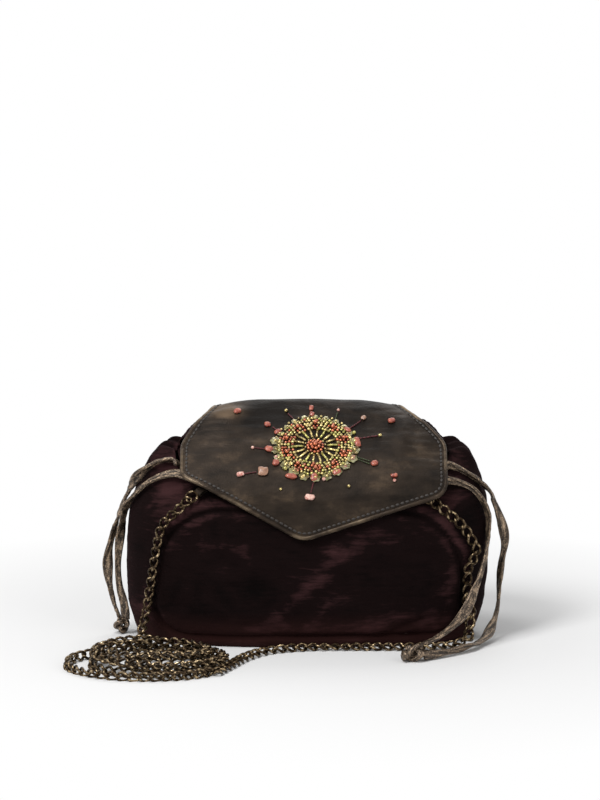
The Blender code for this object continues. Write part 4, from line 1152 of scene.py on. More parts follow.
@dataclass
class FlapForm:
    """The flap's curved surface, read by x and by the distance s down from the hinge line."""

    pouch: PouchForm
    leather: float = 1.4 * MM
    layer_gap: float = 0.8 * MM
    lining: float = 0.8 * MM
    rest_gap: float = 1.2 * MM
    fit: float = 0.3 * MM
    casing_reach: float = 3.8 * MM
    hinge_offset: float = 2.0 * MM
    hinge_lift: float = 3.2 * MM
    crest_run: float = 13.0 * MM
    crest_rise: float = 2.2 * MM
    slope_bow: float = 1.2 * MM
    tip_height: float = 66.0 * MM
    hinge_left: float = 52.0 * MM
    hinge_right: float = 52.0 * MM
    left: float = 76.0 * MM
    right: float = 86.0 * MM
    shoulder: float = 46.0 * MM
    left_corner: float = 74.0 * MM
    right_corner: float = 87.0 * MM
    tip_x: float = -2.0 * MM
    corner_radius: float = 12.0 * MM
    tip_radius: float = 16.0 * MM
    wrap_start: float = 50.0 * MM
    wrap_rate: float = 4.0
    droop: float = 7.0 * MM
    # Bulges of the leather: x, distance down, width, length and height, in mm
    bulges: tuple[tuple[float, ...], ...] = (
        (-48.0, 23.0, 12.0, 8.0, 2.0), (60.0, 38.0, 5.0, 14.0, 1.5), (67.0, 37.0, 4.0, 14.0, -1.0))
    # Fine folds near both ends: distance down and depth, in mm
    folds: tuple[tuple[float, float], ...] = ((34.0, 0.30), (39.0, 0.22), (45.0, 0.25), (52.0, 0.16))

    def __post_init__(self) -> None:
        """Work out the mid-line and the outline."""
        self.line = smooth_path(self.side_view(), 1.0 * MM)
        self.length = path_length(self.line)
        self.step = self.length / (len(self.line) - 1)
        corners = [(-self.hinge_left, 0.0, 0.0),
                   (-self.left, self.shoulder, self.tip_radius),
                   (-self.left, self.left_corner, self.corner_radius),
                   (self.tip_x, self.length, self.tip_radius),
                   (self.right, self.right_corner, self.corner_radius),
                   (self.right, self.shoulder, self.tip_radius),
                   (self.hinge_right, 0.0, 0.0)]
        self.outline = rounded_outline([Vector(c[:2]) for c in corners], [c[2] for c in corners])

    def front_y(self, height: float) -> float:
        """How far forward the middle of the pouch's front reaches at a height."""
        t = 0.0
        while t < self.pouch.mouth and self.pouch.point(t, -0.5 * math.pi).z < height:
            t += 0.02
        return self.pouch.point(t, -0.5 * math.pi).y

    def side_view(self) -> list[Vector]:
        """Points of the mid-line: hinge, crest, slope, brow, swell and tip."""
        middle, _, across = self.pouch.casing_axes(0.5 * math.pi)
        hinge = middle + across * (self.casing_reach + 0.5 * self.leather + self.fit)
        hinge = Vector((0.0, hinge.y + self.hinge_offset, hinge.z + self.hinge_lift))
        stack = 0.5 * self.leather + self.layer_gap + self.lining + self.rest_gap
        middle, _, across = self.pouch.casing_axes(-0.5 * math.pi)
        brow = middle + across * (self.casing_reach + stack)
        brow.x = 0.0
        crest = hinge + Vector((0.0, -self.crest_run, self.crest_rise))
        slope = brow - crest
        bow = Vector((0.0, slope.z, -slope.y)).normalized() * self.slope_bow
        swell_height = 0.62 * brow.z + 0.38 * self.tip_height
        swell = Vector((0.0, self.front_y(swell_height) - stack - self.fit, swell_height))
        tip = Vector((0.0, self.front_y(self.tip_height) - stack - self.fit, self.tip_height))
        rise = hinge.lerp(crest, 0.45) + Vector((0.0, 0.0, 0.4 * self.crest_rise))
        return [hinge, rise, crest, crest + slope * 0.36 + bow, crest + slope * 0.70 + bow, brow, swell, tip]

    def tangent(self, s: float) -> Vector:
        """Direction down the flap at a distance from the hinge line."""
        i = min(max(int(s / self.step), 2), len(self.line) - 4)
        return (self.line[i + 3] - self.line[i - 2]).normalized()

    def wrinkles(self, x: float, s: float) -> float:
        """Soft bulges and creases of the leather.

        Args:
            x: Distance to the right of the middle, in metres.
            s: Distance down from the hinge line, in metres.

        Returns:
            Lift in metres.
        """
        a, b = x / MM, s / MM
        lift = 0.0
        for middle, down, width, length, height in self.bulges:
            lift += height * math.exp(-(((a - middle) / width) ** 2) - ((b - down) / length) ** 2)
        lift += 0.7 * noise.noise(Vector((a * 0.030, b * 0.075, 1.0)))
        lift += 0.3 * noise.noise(Vector((a * 0.07, b * 0.26, 5.0)))
        reach = hump(a + 56.0, 22.0) + 0.6 * hump(a - 66.0, 16.0)
        for centre, depth in self.folds:
            waver = 0.05 * (a + 40.0) + 1.5 * noise.noise(Vector((a * 0.05, centre, 0.0)))
            lift -= depth * reach * hump(b - centre - waver, 1.5)
        return lift * MM * ease(s / (8.0 * MM))

    def point(self, x: float, s: float, lift: float = 0.0, creased: bool = True) -> Vector:
        """Point over the flap.

        Args:
            x: Distance to the right of the middle, in metres.
            s: Distance down from the hinge line, in metres.
            lift: Distance off the middle of the leather, in metres.
            creased: Whether the leather's creases are added.

        Returns:
            The point.
        """
        i = min(max(int(s / self.step), 0), len(self.line) - 2)
        here = self.line[i].lerp(self.line[i + 1], s / self.step - i)
        ahead = self.tangent(s)
        normal = Vector((0.0, ahead.z, -ahead.y))
        reach = max(0.0, abs(x - 5.0 * MM) - self.wrap_start)
        wrap = self.wrap_rate * reach * reach * ease(s / (26.0 * MM))
        wrap *= 1.0 - 0.6 * ease((s - self.shoulder) / self.shoulder)
        if creased:
            lift += self.wrinkles(x, s)
        sag = max((x - 20.0 * MM) / (48.0 * MM), (-25.0 * MM - x) / (38.0 * MM), 0.0)
        sag = min(sag, 1.15) ** 2 * self.droop * (1.0 - ease((s - 9.0 * MM) / (24.0 * MM)))
        return Vector((x, here.y, here.z - sag)) + normal * (lift - wrap)

    def inset(self, margin: float) -> list[Vector]:
        """Outline moved inwards by a margin, as points of x and s."""
        fine = resample([Vector((p.x, p.y, 0.0)) for p in self.outline], 1.5 * MM)
        moved = []
        for i, here in enumerate(fine):
            along = (fine[min(i + 1, len(fine) - 1)] - fine[max(i - 1, 0)]).normalized()
            moved.append(here + Vector((along.y, -along.x, 0.0)) * margin)
        return [Vector((p.x, p.y)) for p in moved]


def edges_at(outline: Sequence[Vector], s: float) -> tuple[float, float]:
    """Left and right edges of an outline at a distance down the flap."""
    sides = zip(outline, list(outline[1:]) + [outline[0]])
    crossings = [a.x + (b.x - a.x) * (s - a.y) / (b.y - a.y)
                 for a, b in sides if (a.y - s) * (b.y - s) <= 0.0 and a.y != b.y]
    return min(crossings), max(crossings)


@dataclass
class LeatherFlap:
    """Leather front with its lining, rolled rim, topstitching and the strip that sews it to the back."""

    form: FlapForm
    finishes: Finishes
    face_margin: float = 1.6 * MM
    lining_margin: float = 8.0 * MM
    lining_start: float = 13.5 * MM
    lining_lift: float = -1.9 * MM
    rim: float = 1.3 * MM
    stitch_inset: float = 3.9 * MM
    stitch_length: float = 2.3 * MM
    stitch_pitch: float = 3.1 * MM
    columns: int = 150
    rows: int = 110
    # Painted light spots: x, picture height, width and height in mm, strength, above 0 a painted highlight
    # and below 0 painted shade
    painted_light_spots: tuple[tuple[float, ...], ...] = (
        (-48.0, 143.0, 11.0, 5.0, 0.62),
        (-58.0, 118.0, 18.0, 16.0, 0.09),
        (68.0, 126.0, 9.0, 14.0, 0.10),
        (-6.0, 100.0, 16.0, 6.0, -0.05),
        (52.0, 112.0, 16.0, 8.0, 0.06),
        (-20.0, 92.0, 30.0, 5.0, 0.05),
    )

    def sheet(self, name: str, margin: float, start: float, lift: float, thickness: float,
              material: Material, slot: str, nodes: Sequence[str]) -> Piece:
        """One layer of the flap.

        Args:
            name: Name of the piece.
            margin: Distance of its edge inside the outline.
            start: Distance of its top edge from the hinge line.
            lift: Distance off the middle of the leather.
            thickness: Its thickness.
            material: Its finish.
            slot: Material slot of the record.
            nodes: CAD nodes that it stands for.

        Returns:
            The new object.
        """
        outline = self.form.inset(margin)
        end = max(p.y for p in outline) - 0.15 * MM

        def place(u: float, v: float) -> Vector:
            """Point for a share across the sheet and a share down it."""
            s = start + (end - start) * v
            left, right = edges_at(outline, max(s, outline[0].y + 1e-6))
            return self.form.point(left + (right - left) * u, s, lift)

        bm = warped_grid(self.columns, self.rows, place)
        turn_outwards(bm, Vector((0.0, 0.0, 0.05)))
        piece = finish_piece(name, bm, material, Body.FLAP, slot, nodes)
        # Painted highlights and painted shade, stored on each vertex.
        burnish = piece.data.attributes.new("burnish", "FLOAT", "POINT")
        for vertex, value in zip(piece.data.vertices, burnish.data):
            value.value = self.burnish(vertex.co)
        add_wall(piece, thickness, 0.0)
        return piece

    def burnish(self, p: Vector) -> float:
        """How much painted highlight (above 0) or painted shade (below 0) the leather gets at a point.

        Args:
            p: Point on the flap, in metres.

        Returns:
            Shift along the leather's colours.
        """
        a = p.x / MM
        # Height on the photograph's picture plane, which looks down by 10 degrees
        b = (0.985 * p.z + 0.174 * (p.y + 40.0 * MM)) / MM
        # Painted shade over the top of the flap, above 122 mm on the picture plane.
        total = -0.15 * ease((b - 122.0) / 16.0)
        for x, z, width, height, strength in self.painted_light_spots:
            total += strength * math.exp(-(((a - x) / width) ** 2) - ((b - z) / height) ** 2)
        return total

    def rolled_rim(self) -> None:
        """Rim where the leather is turned over a cord."""
        flat = self.form.inset(self.rim)
        line = resample([self.form.point(p.x, max(p.y, 2.5 * MM)) for p in flat if p.y > 2.0 * MM], 1.2 * MM)
        frames = frames_along(line, Vector((0.0, -0.7, 0.7)))
        last = len(line) - 1

        def place(u: float, v: float) -> Vector:
            """Point for a share around the rim and a share along it."""
            here, _, side, up = frames[round(v * last)]
            turn = 2.0 * math.pi * u
            size = self.rim * (1.0 + 0.05 * noise.noise(Vector((0.0, 3.0, 60.0 * v))))
            return here + side * (size * math.cos(turn)) + up * (size * math.sin(turn))

        bm = warped_grid(14, last, place)
        close_tube(bm)
        finish_piece("flap_rolled_rim", bm, self.finishes.rim, Body.FLAP, "leather", ("flap_piped_edge",))

    def topstitching(self) -> None:
        """Row of thread stitches just inside the rim."""
        flat = [p for p in self.form.inset(self.stitch_inset) if p.y > 4.0 * MM]
        spots = resample([Vector((p.x, p.y, 0.0)) for p in flat], self.stitch_pitch)
        bm = bmesh.new()
        for a, b in zip(spots, spots[1:]):
            middle = (a + b) * 0.5
            half = (b - a).normalized() * (0.5 * self.stitch_length)
            lift = 0.5 * self.form.leather + 0.14 * MM
            start = self.form.point(middle.x - half.x, middle.y - half.y, lift)
            end = self.form.point(middle.x + half.x, middle.y + half.y, lift)
            along = (end - start).normalized()
            foot = self.form.point(middle.x, middle.y, lift)
            up = (self.form.point(middle.x, middle.y, lift + MM) - foot).normalized()
            side = along.cross(up).normalized()
            grid = axes_matrix((start + end) * 0.5, side * 0.34, along.cross(side) * 0.22, along * 0.55)
            add_shape(bm, bmesh.ops.create_uvsphere, grid, u_segments=8, v_segments=6,
                      radius=(end - start).length)
        finish_piece("flap_topstitching", bm, self.finishes.thread, Body.FLAP, "leather")

    def anchor(self) -> None:
        """Strip sewn to the velvet below the hinge line."""
        foot = self.form.pouch.held_off(6.3, math.pi / 2.0, 0.0)
        seat = self.form.pouch.held_off(7.6, math.pi / 2.0, 3.0 * MM)
        top = self.form.line[0] - Vector((0.0, self.form.hinge_offset, 1.7 * MM))
        line = smooth_path([foot, seat, top], 1.0 * MM)

        def place(u: float, v: float) -> Vector:
            """Point for a share across the strip and a share up it."""
            x = -self.form.hinge_left + (self.form.hinge_left + self.form.hinge_right) * u
            p = line[round(v * (len(line) - 1))]
            puff = 0.25 * MM * noise.noise(Vector((60.0 * x, 40.0 * v, 2.0)))
            sag = self.form.line[0].z - self.form.point(x, 0.0, 0.0, False).z
            return Vector((x, p.y + puff, p.z - sag * v))

        bm = warped_grid(100, len(line) - 1, place)
        turn_outwards(bm, Vector((0.0, 0.0, 0.1)))
        piece = finish_piece("flap_anchor", bm, self.finishes.leather, Body.BAG, "leather",
                             ("flap_anchor_strip",))
        add_wall(piece, self.form.leather, 0.0)

    def build(self) -> None:
        """Make every layer of the flap."""
        self.sheet("flap_face", self.face_margin, 0.0, 0.0, self.form.leather,
                   self.finishes.leather, "leather", ("flap_leather",))
        self.sheet("flap_satin", self.lining_margin, self.lining_start, self.lining_lift,
                   self.form.lining, self.finishes.satin, "satin_lining", ("flap_lining",))
        self.rolled_rim()
        self.topstitching()
        self.anchor()


@dataclass(frozen=True)
class SewnOn:
    """A stone, chip or bead near the sunburst: place on the flap and size in mm, turn in degrees."""

    name: str
    x: float
    down: float
    length: float
    width: float
    turn: float
    finish: Sewn
    node: str = ""


@dataclass
class Sunburst:
    """Beaded medallion: copper heart, bugle rays, florets of seed beads, sequins and scattered stones."""

    form: FlapForm
    finishes: Finishes
    centre_x: float = 6.0 * MM
    centre_s: float = 51.5 * MM
    face: float = 0.7 * MM
    rays: int = 18
    ray_middle: float = 10.3
    ray_length: float = 6.2
    ray_radius: float = 0.72
    florets: int = 10
    seed_rings: tuple[float, ...] = (14.2, 16.2, 18.2, 20.2, 22.0)
    seed_pitch: float = 2.15
    floret_radius: float = 18.2
    floret_reach: float = 3.6
    sequin_count: int = 22
    # Ring radius and sequin radius, in mm, low on the medallion and high on it
    low_sequins: tuple[float, float] = (24.2, 3.3)
    high_sequins: tuple[float, float] = (23.2, 1.8)

    def sewn(self, name: str, bm: BMesh, kind: Sewn, *nodes: str) -> None:
        """Finish a piece of beadwork, which rides on the flap."""
        finish, slot = kind.value
        finish_piece(name, bm, getattr(self.finishes, finish), Body.FLAP, slot, nodes)

    def frame(self, x: float, s: float, lift: float = 0.0) -> tuple[Vector, Vector, Vector, Vector]:
        """Place on the leather with its right, up-the-flap and outward directions."""
        here = self.form.point(x, s, self.face + lift)
        right = (self.form.point(x + MM, s, 0.0, False) - self.form.point(x - MM, s, 0.0, False)).normalized()
        back = (self.form.point(x, s - MM, 0.0, False) - self.form.point(x, s + MM, 0.0, False)).normalized()
        return here, right, back, right.cross(back).normalized()

    def polar(self, radius: float, degrees: float) -> tuple[float, float]:
        """x and s of a point round the medallion's middle, in metres; radius in mm."""
        a = math.radians(degrees)
        return self.centre_x + radius * MM * math.cos(a), self.centre_s - radius * MM * math.sin(a)

    def bead(
        self, bm: BMesh, x: float, s: float, radius: float, lift: float = 0.0, tall: float = 0.8
    ) -> None:
        """Add a seed bead.

        Args:
            bm: Mesh that gets it.
            x: Place across the flap.
            s: Place down the flap.
            radius: Radius in mm.
            lift: Height of its foot over the leather, in mm.
            tall: Its height as a share of its width.
        """
        here, right, back, out = self.frame(x, s, (lift + radius * tall * 0.8) * MM)
        add_shape(bm, bmesh.ops.create_uvsphere, axes_matrix(here, right, back, out * tall),
                  u_segments=8, v_segments=5, radius=radius * MM)

    def tube_bead(self, bm: BMesh, x: float, s: float, degrees: float, length: float, radius: float) -> None:
        """Add a bugle bead that points away from the middle; sizes in mm."""
        here, right, back, out = self.frame(x, s, radius * MM)
        a = math.radians(degrees)
        along = (right * math.cos(a) + back * math.sin(a)).normalized()
        side = out.cross(along).normalized()
        add_shape(bm, bmesh.ops.create_cone, axes_matrix(here, side, out, along), segments=8, cap_ends=True,
                  radius1=radius * MM, radius2=radius * MM, depth=length * MM)

    def sequin(self, bm: BMesh, x: float, s: float, radius: float, turn: float) -> None:
        """Add a cupped flower sequin; radius in mm."""
        here, right, back, out = self.frame(x, s, 0.5 * MM)
        verts = add_shape(bm, bmesh.ops.create_cone, axes_matrix(here, right, back, out), segments=24,
                          cap_ends=True, radius1=0.55 * radius * MM, radius2=radius * MM, depth=0.9 * MM)
        for vert in verts:
            flat = vert.co - here
            angle = math.atan2(flat.dot(back), flat.dot(right)) + turn
            rise = flat.dot(out)
            vert.co = here + (flat - out * rise) * (0.90 + 0.10 * math.cos(6.0 * angle)) + out * rise

    def heart(self) -> None:
        """Domed cluster of copper beads in the middle."""
        bm = bmesh.new()
        self.bead(bm, self.centre_x, self.centre_s, 1.5, 1.9)
        for ring, count, radius, lift in ((2.5, 7, 1.15, 1.2), (4.6, 13, 1.05, 0.25)):
            for k in range(count):
                x, s = self.polar(ring, 360.0 * k / count + 9.0 * ring)
                self.bead(bm, x, s, radius, lift)
        self.sewn("sunburst_heart", bm, Sewn.COPPER, "sunburst_centre")
        bm = bmesh.new()
        for k in range(12):
            x, s = self.polar(6.1, 30.0 * k + 11.0)
            self.bead(bm, x, s, 0.75, 0.1)
        self.sewn("sunburst_heart_edge", bm, Sewn.GOLD)

    def ray_beads(self) -> None:
        """Bugle beads set like rays, gold and olive by turns."""
        gold, olive = bmesh.new(), bmesh.new()
        for k in range(self.rays):
            degrees = 360.0 * k / self.rays + 4.0
            x, s = self.polar(self.ray_middle, degrees)
            self.tube_bead(gold if k % 3 else olive, x, s, degrees, self.ray_length, self.ray_radius)
        self.sewn("sunburst_bugle_rays", gold, Sewn.GOLD, "sunburst_rays")
        self.sewn("sunburst_olive_bugles", olive, Sewn.OLIVE)

    def seed_band(self) -> None:
        """Band packed with seed beads: copper florets with gold and olive beads between them."""
        rng = random.Random(11)
        copper, gold, olive = bmesh.new(), bmesh.new(), bmesh.new()
        for ring, radius in enumerate(self.seed_rings):
            count = round(2.0 * math.pi * radius / self.seed_pitch)
            for k in range(count):
                degrees = 360.0 * (k + 0.5 * (ring % 2)) / count + 90.0
                across = ((degrees - 90.0) * self.florets / 360.0 + 0.5) % 1.0 - 0.5
                aside = across * 2.0 * math.pi * radius / self.florets
                in_floret = math.hypot(aside, radius - self.floret_radius) < self.floret_reach
                x, s = self.polar(radius + rng.uniform(-0.35, 0.35), degrees + rng.uniform(-1.2, 1.2))
                draw = rng.random()
                if in_floret:
                    target = copper if draw < 0.72 else gold
                else:
                    target = gold if draw < 0.55 else olive if draw < 0.9 else copper
                self.bead(target, x, s, rng.uniform(0.82, 1.12), rng.uniform(0.0, 0.35))
        for k in range(self.florets):
            x, s = self.polar(self.floret_radius, 360.0 * k / self.florets + 90.0)
            self.bead(copper, x, s, 1.35, 1.1)
        self.sewn("sunburst_florets", copper, Sewn.COPPER, "sunburst_outer_seed_ring")
        self.sewn("sunburst_gold_seeds", gold, Sewn.GOLD, "sunburst_inner_seed_ring")
        self.sewn("sunburst_olive_seeds", olive, Sewn.OLIVE)

    def sequin_ring(self) -> None:
        """Outer ring: flower sequins round the lower half and smaller ones with seed beads above."""
        rng = random.Random(5)
        sequins, seeds = bmesh.new(), bmesh.new()
        for k in range(self.sequin_count):
            degrees = 360.0 * k / self.sequin_count + 90.0
            low = math.sin(math.radians(degrees)) < 0.2
            ring, radius = self.low_sequins if low else self.high_sequins
            x, s = self.polar(ring + rng.uniform(-0.4, 0.4), degrees)
            self.sequin(sequins, x, s, radius + 0.2 * rng.random(), degrees)
            self.bead(seeds, x, s, 0.95 if low else 0.8, 0.7)
            if not low:
                x, s = self.polar(24.6, degrees + 8.0)
                self.bead(seeds, x, s, 0.9)
        self.sewn("sunburst_sequins", sequins, Sewn.SEQUIN, "sunburst_stone_ring")
        self.sewn("sunburst_sequin_beads", seeds, Sewn.GOLD)

    def build(self) -> None:
        """Make the medallion and the scattered stones."""
        self.heart()
        self.ray_beads()
        self.seed_band()
        self.sequin_ring()
        ScatteredStones(self).build()


STONES = (
    SewnOn("crest_chip_left", -41.5, 24.0, 4.6, 3.4, 20.0, Sewn.CORAL, "chip_top_left"),
    SewnOn("top_arm_chip", 3.6, 20.5, 4.2, 2.8, 80.0, Sewn.CORAL, "chip_top"),
    SewnOn("top_arm_bead", 4.0, 25.5, 3.4, 3.0, 80.0, Sewn.CORAL),
    SewnOn("top_right_chip", 35.5, 28.5, 3.6, 3.0, 60.0, Sewn.BEIGE, "chip_top_right"),
    SewnOn("far_right_chip", 52.5, 30.5, 4.4, 3.6, 10.0, Sewn.CORAL, "chip_right"),
    SewnOn("rim_chip_right", 31.5, 48.5, 7.6, 3.6, 100.0, Sewn.CORAL),
    SewnOn("rim_chip_upper_right", 25.6, 38.6, 5.2, 3.0, -40.0, Sewn.CORAL),
    SewnOn("rim_chip_lower_right", 28.8, 61.0, 4.2, 2.6, 70.0, Sewn.BEIGE),
    SewnOn("stem_chip_right", 41.7, 65.5, 4.6, 3.6, 20.0, Sewn.CORAL, "chip_low_right"),
    SewnOn("low_right_chip", 53.6, 74.8, 4.2, 2.4, 8.0, Sewn.CORAL),
    SewnOn("upper_left_chip", -23.0, 34.0, 4.0, 3.4, 0.0, Sewn.CORAL),
    SewnOn("rim_chip_upper_left", -16.8, 40.0, 4.8, 3.0, 35.0, Sewn.CORAL),
    SewnOn("rim_chip_left", -22.0, 54.0, 5.2, 4.0, -20.0, Sewn.CORAL, "chip_left"),
    SewnOn("rim_chip_lower_left", -17.8, 65.0, 4.2, 4.4, 0.0, Sewn.CORAL),
    SewnOn("round_stone_left", -25.5, 71.5, 6.6, 6.2, 0.0, Sewn.BEIGE, "stone_low_left"),
    SewnOn("far_left_chip", -39.3, 73.5, 4.6, 3.0, 10.0, Sewn.ROSE, "chip_low_left"),
    SewnOn("low_oval_chip", -8.7, 75.0, 6.6, 3.4, -8.0, Sewn.CORAL, "chip_below"),
    SewnOn("low_arm_chip", 5.2, 75.6, 5.4, 4.0, 85.0, Sewn.CORAL, "chip_low"),
    SewnOn("rim_chip_low_right", 18.9, 71.8, 5.4, 3.6, 30.0, Sewn.CORAL),
    SewnOn("tip_stone", 2.6, 88.5, 5.8, 3.6, -4.0, Sewn.ROSE, "chip_tip"),
)
# Single beads: finish, x, distance down and radius, in mm
SMALL_BEADS = (
    (Sewn.GOLD, -11.7, 22.5, 1.2), (Sewn.ROSE, 20.1, 22.0, 1.0), (Sewn.GOLD, 45.3, 43.0, 1.2),
    (Sewn.ROSE, -32.0, 53.0, 1.1), (Sewn.ROSE, 53.7, 78.0, 1.1), (Sewn.GOLD, -15.0, 83.5, 1.0),
    (Sewn.GOLD, 26.1, 81.5, 1.1), (Sewn.GOLD, -2.1, 75.8, 1.3), (Sewn.ROSE, 11.1, 76.8, 1.2),
    (Sewn.GOLD, 26.8, 44.6, 1.1), (Sewn.OLIVE, 29.6, 41.0, 1.3), (Sewn.ROSE, -17.8, 60.5, 1.1),
    (Sewn.GOLD, -18.0, 47.5, 1.2), (Sewn.OLIVE, -12.3, 69.8, 1.4), (Sewn.ROSE, 24.2, 67.6, 1.1),
    (Sewn.GOLD, 30.6, 57.5, 1.1),
)
# Silk stems: finish, then start and end as x and distance down, in mm
STEMS = (
    (Sewn.SILK, (3.8, 27.0), (4.6, 32.0)), (Sewn.SILK, (30.0, 46.0), (44.0, 43.3)),
    (Sewn.LEAF, (30.0, 60.0), (39.0, 63.5)), (Sewn.SILK, (4.8, 79.0), (3.2, 86.0)),
    (Sewn.SILK, (-20.0, 36.0), (-15.0, 40.5)), (Sewn.LEAF, (19.6, 24.0), (18.0, 30.5)),
    (Sewn.SILK, (-10.6, 24.5), (-6.0, 31.5)), (Sewn.SILK, (33.8, 30.5), (27.0, 37.0)),
    (Sewn.SILK, (-37.0, 73.0), (-29.5, 71.8)), (Sewn.SILK, (-30.5, 53.0), (-25.0, 53.8)),
    (Sewn.LEAF, (30.4, 61.4), (39.2, 66.0)),
)


@dataclass
class ScatteredStones:
    """Chips, single beads and silk stems round the medallion."""

    burst: Sunburst
    chip_lift: float = 0.9 * MM
    chip_half_thickness: float = 0.95 * MM
    stem_stitches: int = 6
    stem_radius: float = 0.42

    def chip(self, spot: SewnOn) -> None:
        """Make one irregular stone.

        Args:
            spot: Where it is sewn and how large it is.
        """
        here, right, back, out = self.burst.frame(spot.x * MM, spot.down * MM, self.chip_lift)
        a = math.radians(spot.turn)
        along = right * math.cos(a) + back * math.sin(a)
        aside = back * math.cos(a) - right * math.sin(a)
        bm = bmesh.new()
        bmesh.ops.create_icosphere(bm, subdivisions=3, radius=1.0)
        shift = Vector((len(spot.name) * 1.7, spot.x, spot.down))
        for vert in bm.verts:
            n = vert.co.normalized()
            lump = 1.0 + 0.24 * noise.noise(n * 1.6 + shift) + 0.06 * noise.noise(n * 5.0 + shift)
            box = n / max(abs(n.x), abs(n.y), abs(n.z))
            co = n.lerp(box, 0.35) * lump
            vert.co = (here + along * (co.x * 0.5 * spot.length * MM)
                       + aside * (co.y * 0.5 * spot.width * MM)
                       + out * (co.z * self.chip_half_thickness))
        self.burst.sewn(spot.name, bm, spot.finish, *([spot.node] if spot.node else []))

    def beads(self) -> None:
        """Make the single beads, one piece for each finish."""
        for kind, nodes in ((Sewn.GOLD, ()), (Sewn.ROSE, ("bead_right",)), (Sewn.OLIVE, ())):
            bm = bmesh.new()
            for finish, x, down, radius in SMALL_BEADS:
                if finish == kind:
                    self.burst.bead(bm, x * MM, down * MM, radius)
            self.burst.sewn("scattered_beads_" + kind.value[0], bm, kind, *nodes)

    def stems(self) -> None:
        """Make the silk stems that run from the stones to the medallion."""
        for kind in (Sewn.SILK, Sewn.LEAF):
            bm = bmesh.new()
            for finish, start, end in STEMS:
                if finish != kind:
                    continue
                degrees = math.degrees(math.atan2(start[1] - end[1], end[0] - start[0]))
                length = math.hypot(end[0] - start[0], end[1] - start[1]) / self.stem_stitches
                for k in range(self.stem_stitches):
                    share = (k + 0.5) / self.stem_stitches
                    x = start[0] + (end[0] - start[0]) * share
                    down = start[1] + (end[1] - start[1]) * share
                    self.burst.tube_bead(bm, x * MM, down * MM, degrees, 0.86 * length, self.stem_radius)
            self.burst.sewn("stems_" + kind.value[0], bm, kind)

    def build(self) -> None:
        """Make every scattered piece."""
        for spot in STONES:
            self.chip(spot)
        self.beads()
        self.stems()


@dataclass(frozen=True)
class ChainFall:
    """Hanging stretch of chain: levels and degrees down the pouch, then free points in mm."""

    name: str
    node: str
    levels: tuple[tuple[float, float], ...]
    free: tuple[tuple[float, float, float], ...]


FALLS = (
    ChainFall("left_chain_fall", "chain_left_fall",
              ((5.8, -131.0), (5.25, -132.0), (4.65, -138.0), (4.1, -140.0), (3.6, -142.0), (3.05, -145.0)),
              ((-96.5, -38.0, 21.0), (-98.5, -46.0, 13.5), (-98.0, -53.2, 10.2))),
    ChainFall("right_chain_fall", "chain_right_fall",
              ((5.8, -49.5), (5.05, -45.0), (4.6, -38.0), (4.2, -32.0), (3.95, -29.0), (3.65, -34.0),
               (3.25, -34.0), (2.35, -31.0)),
              ((100.0, -31.0, 28.0), (100.0, -34.0, 17.0), (99.0, -36.5, 8.5))),
)
# Run along the floor in front of the pouch, from the heap to the right fall, in mm
FRONT_RUN = (
    (-44.0, -94.0, 2.4), (-36.0, -75.0, 2.4), (-22.0, -57.0, 2.4), (0.0, -48.5, 2.4), (25.0, -47.0, 2.4),
    (50.0, -47.0, 2.4), (75.0, -45.5, 2.4), (90.0, -41.0, 2.6), (98.0, -36.0, 5.0),
)


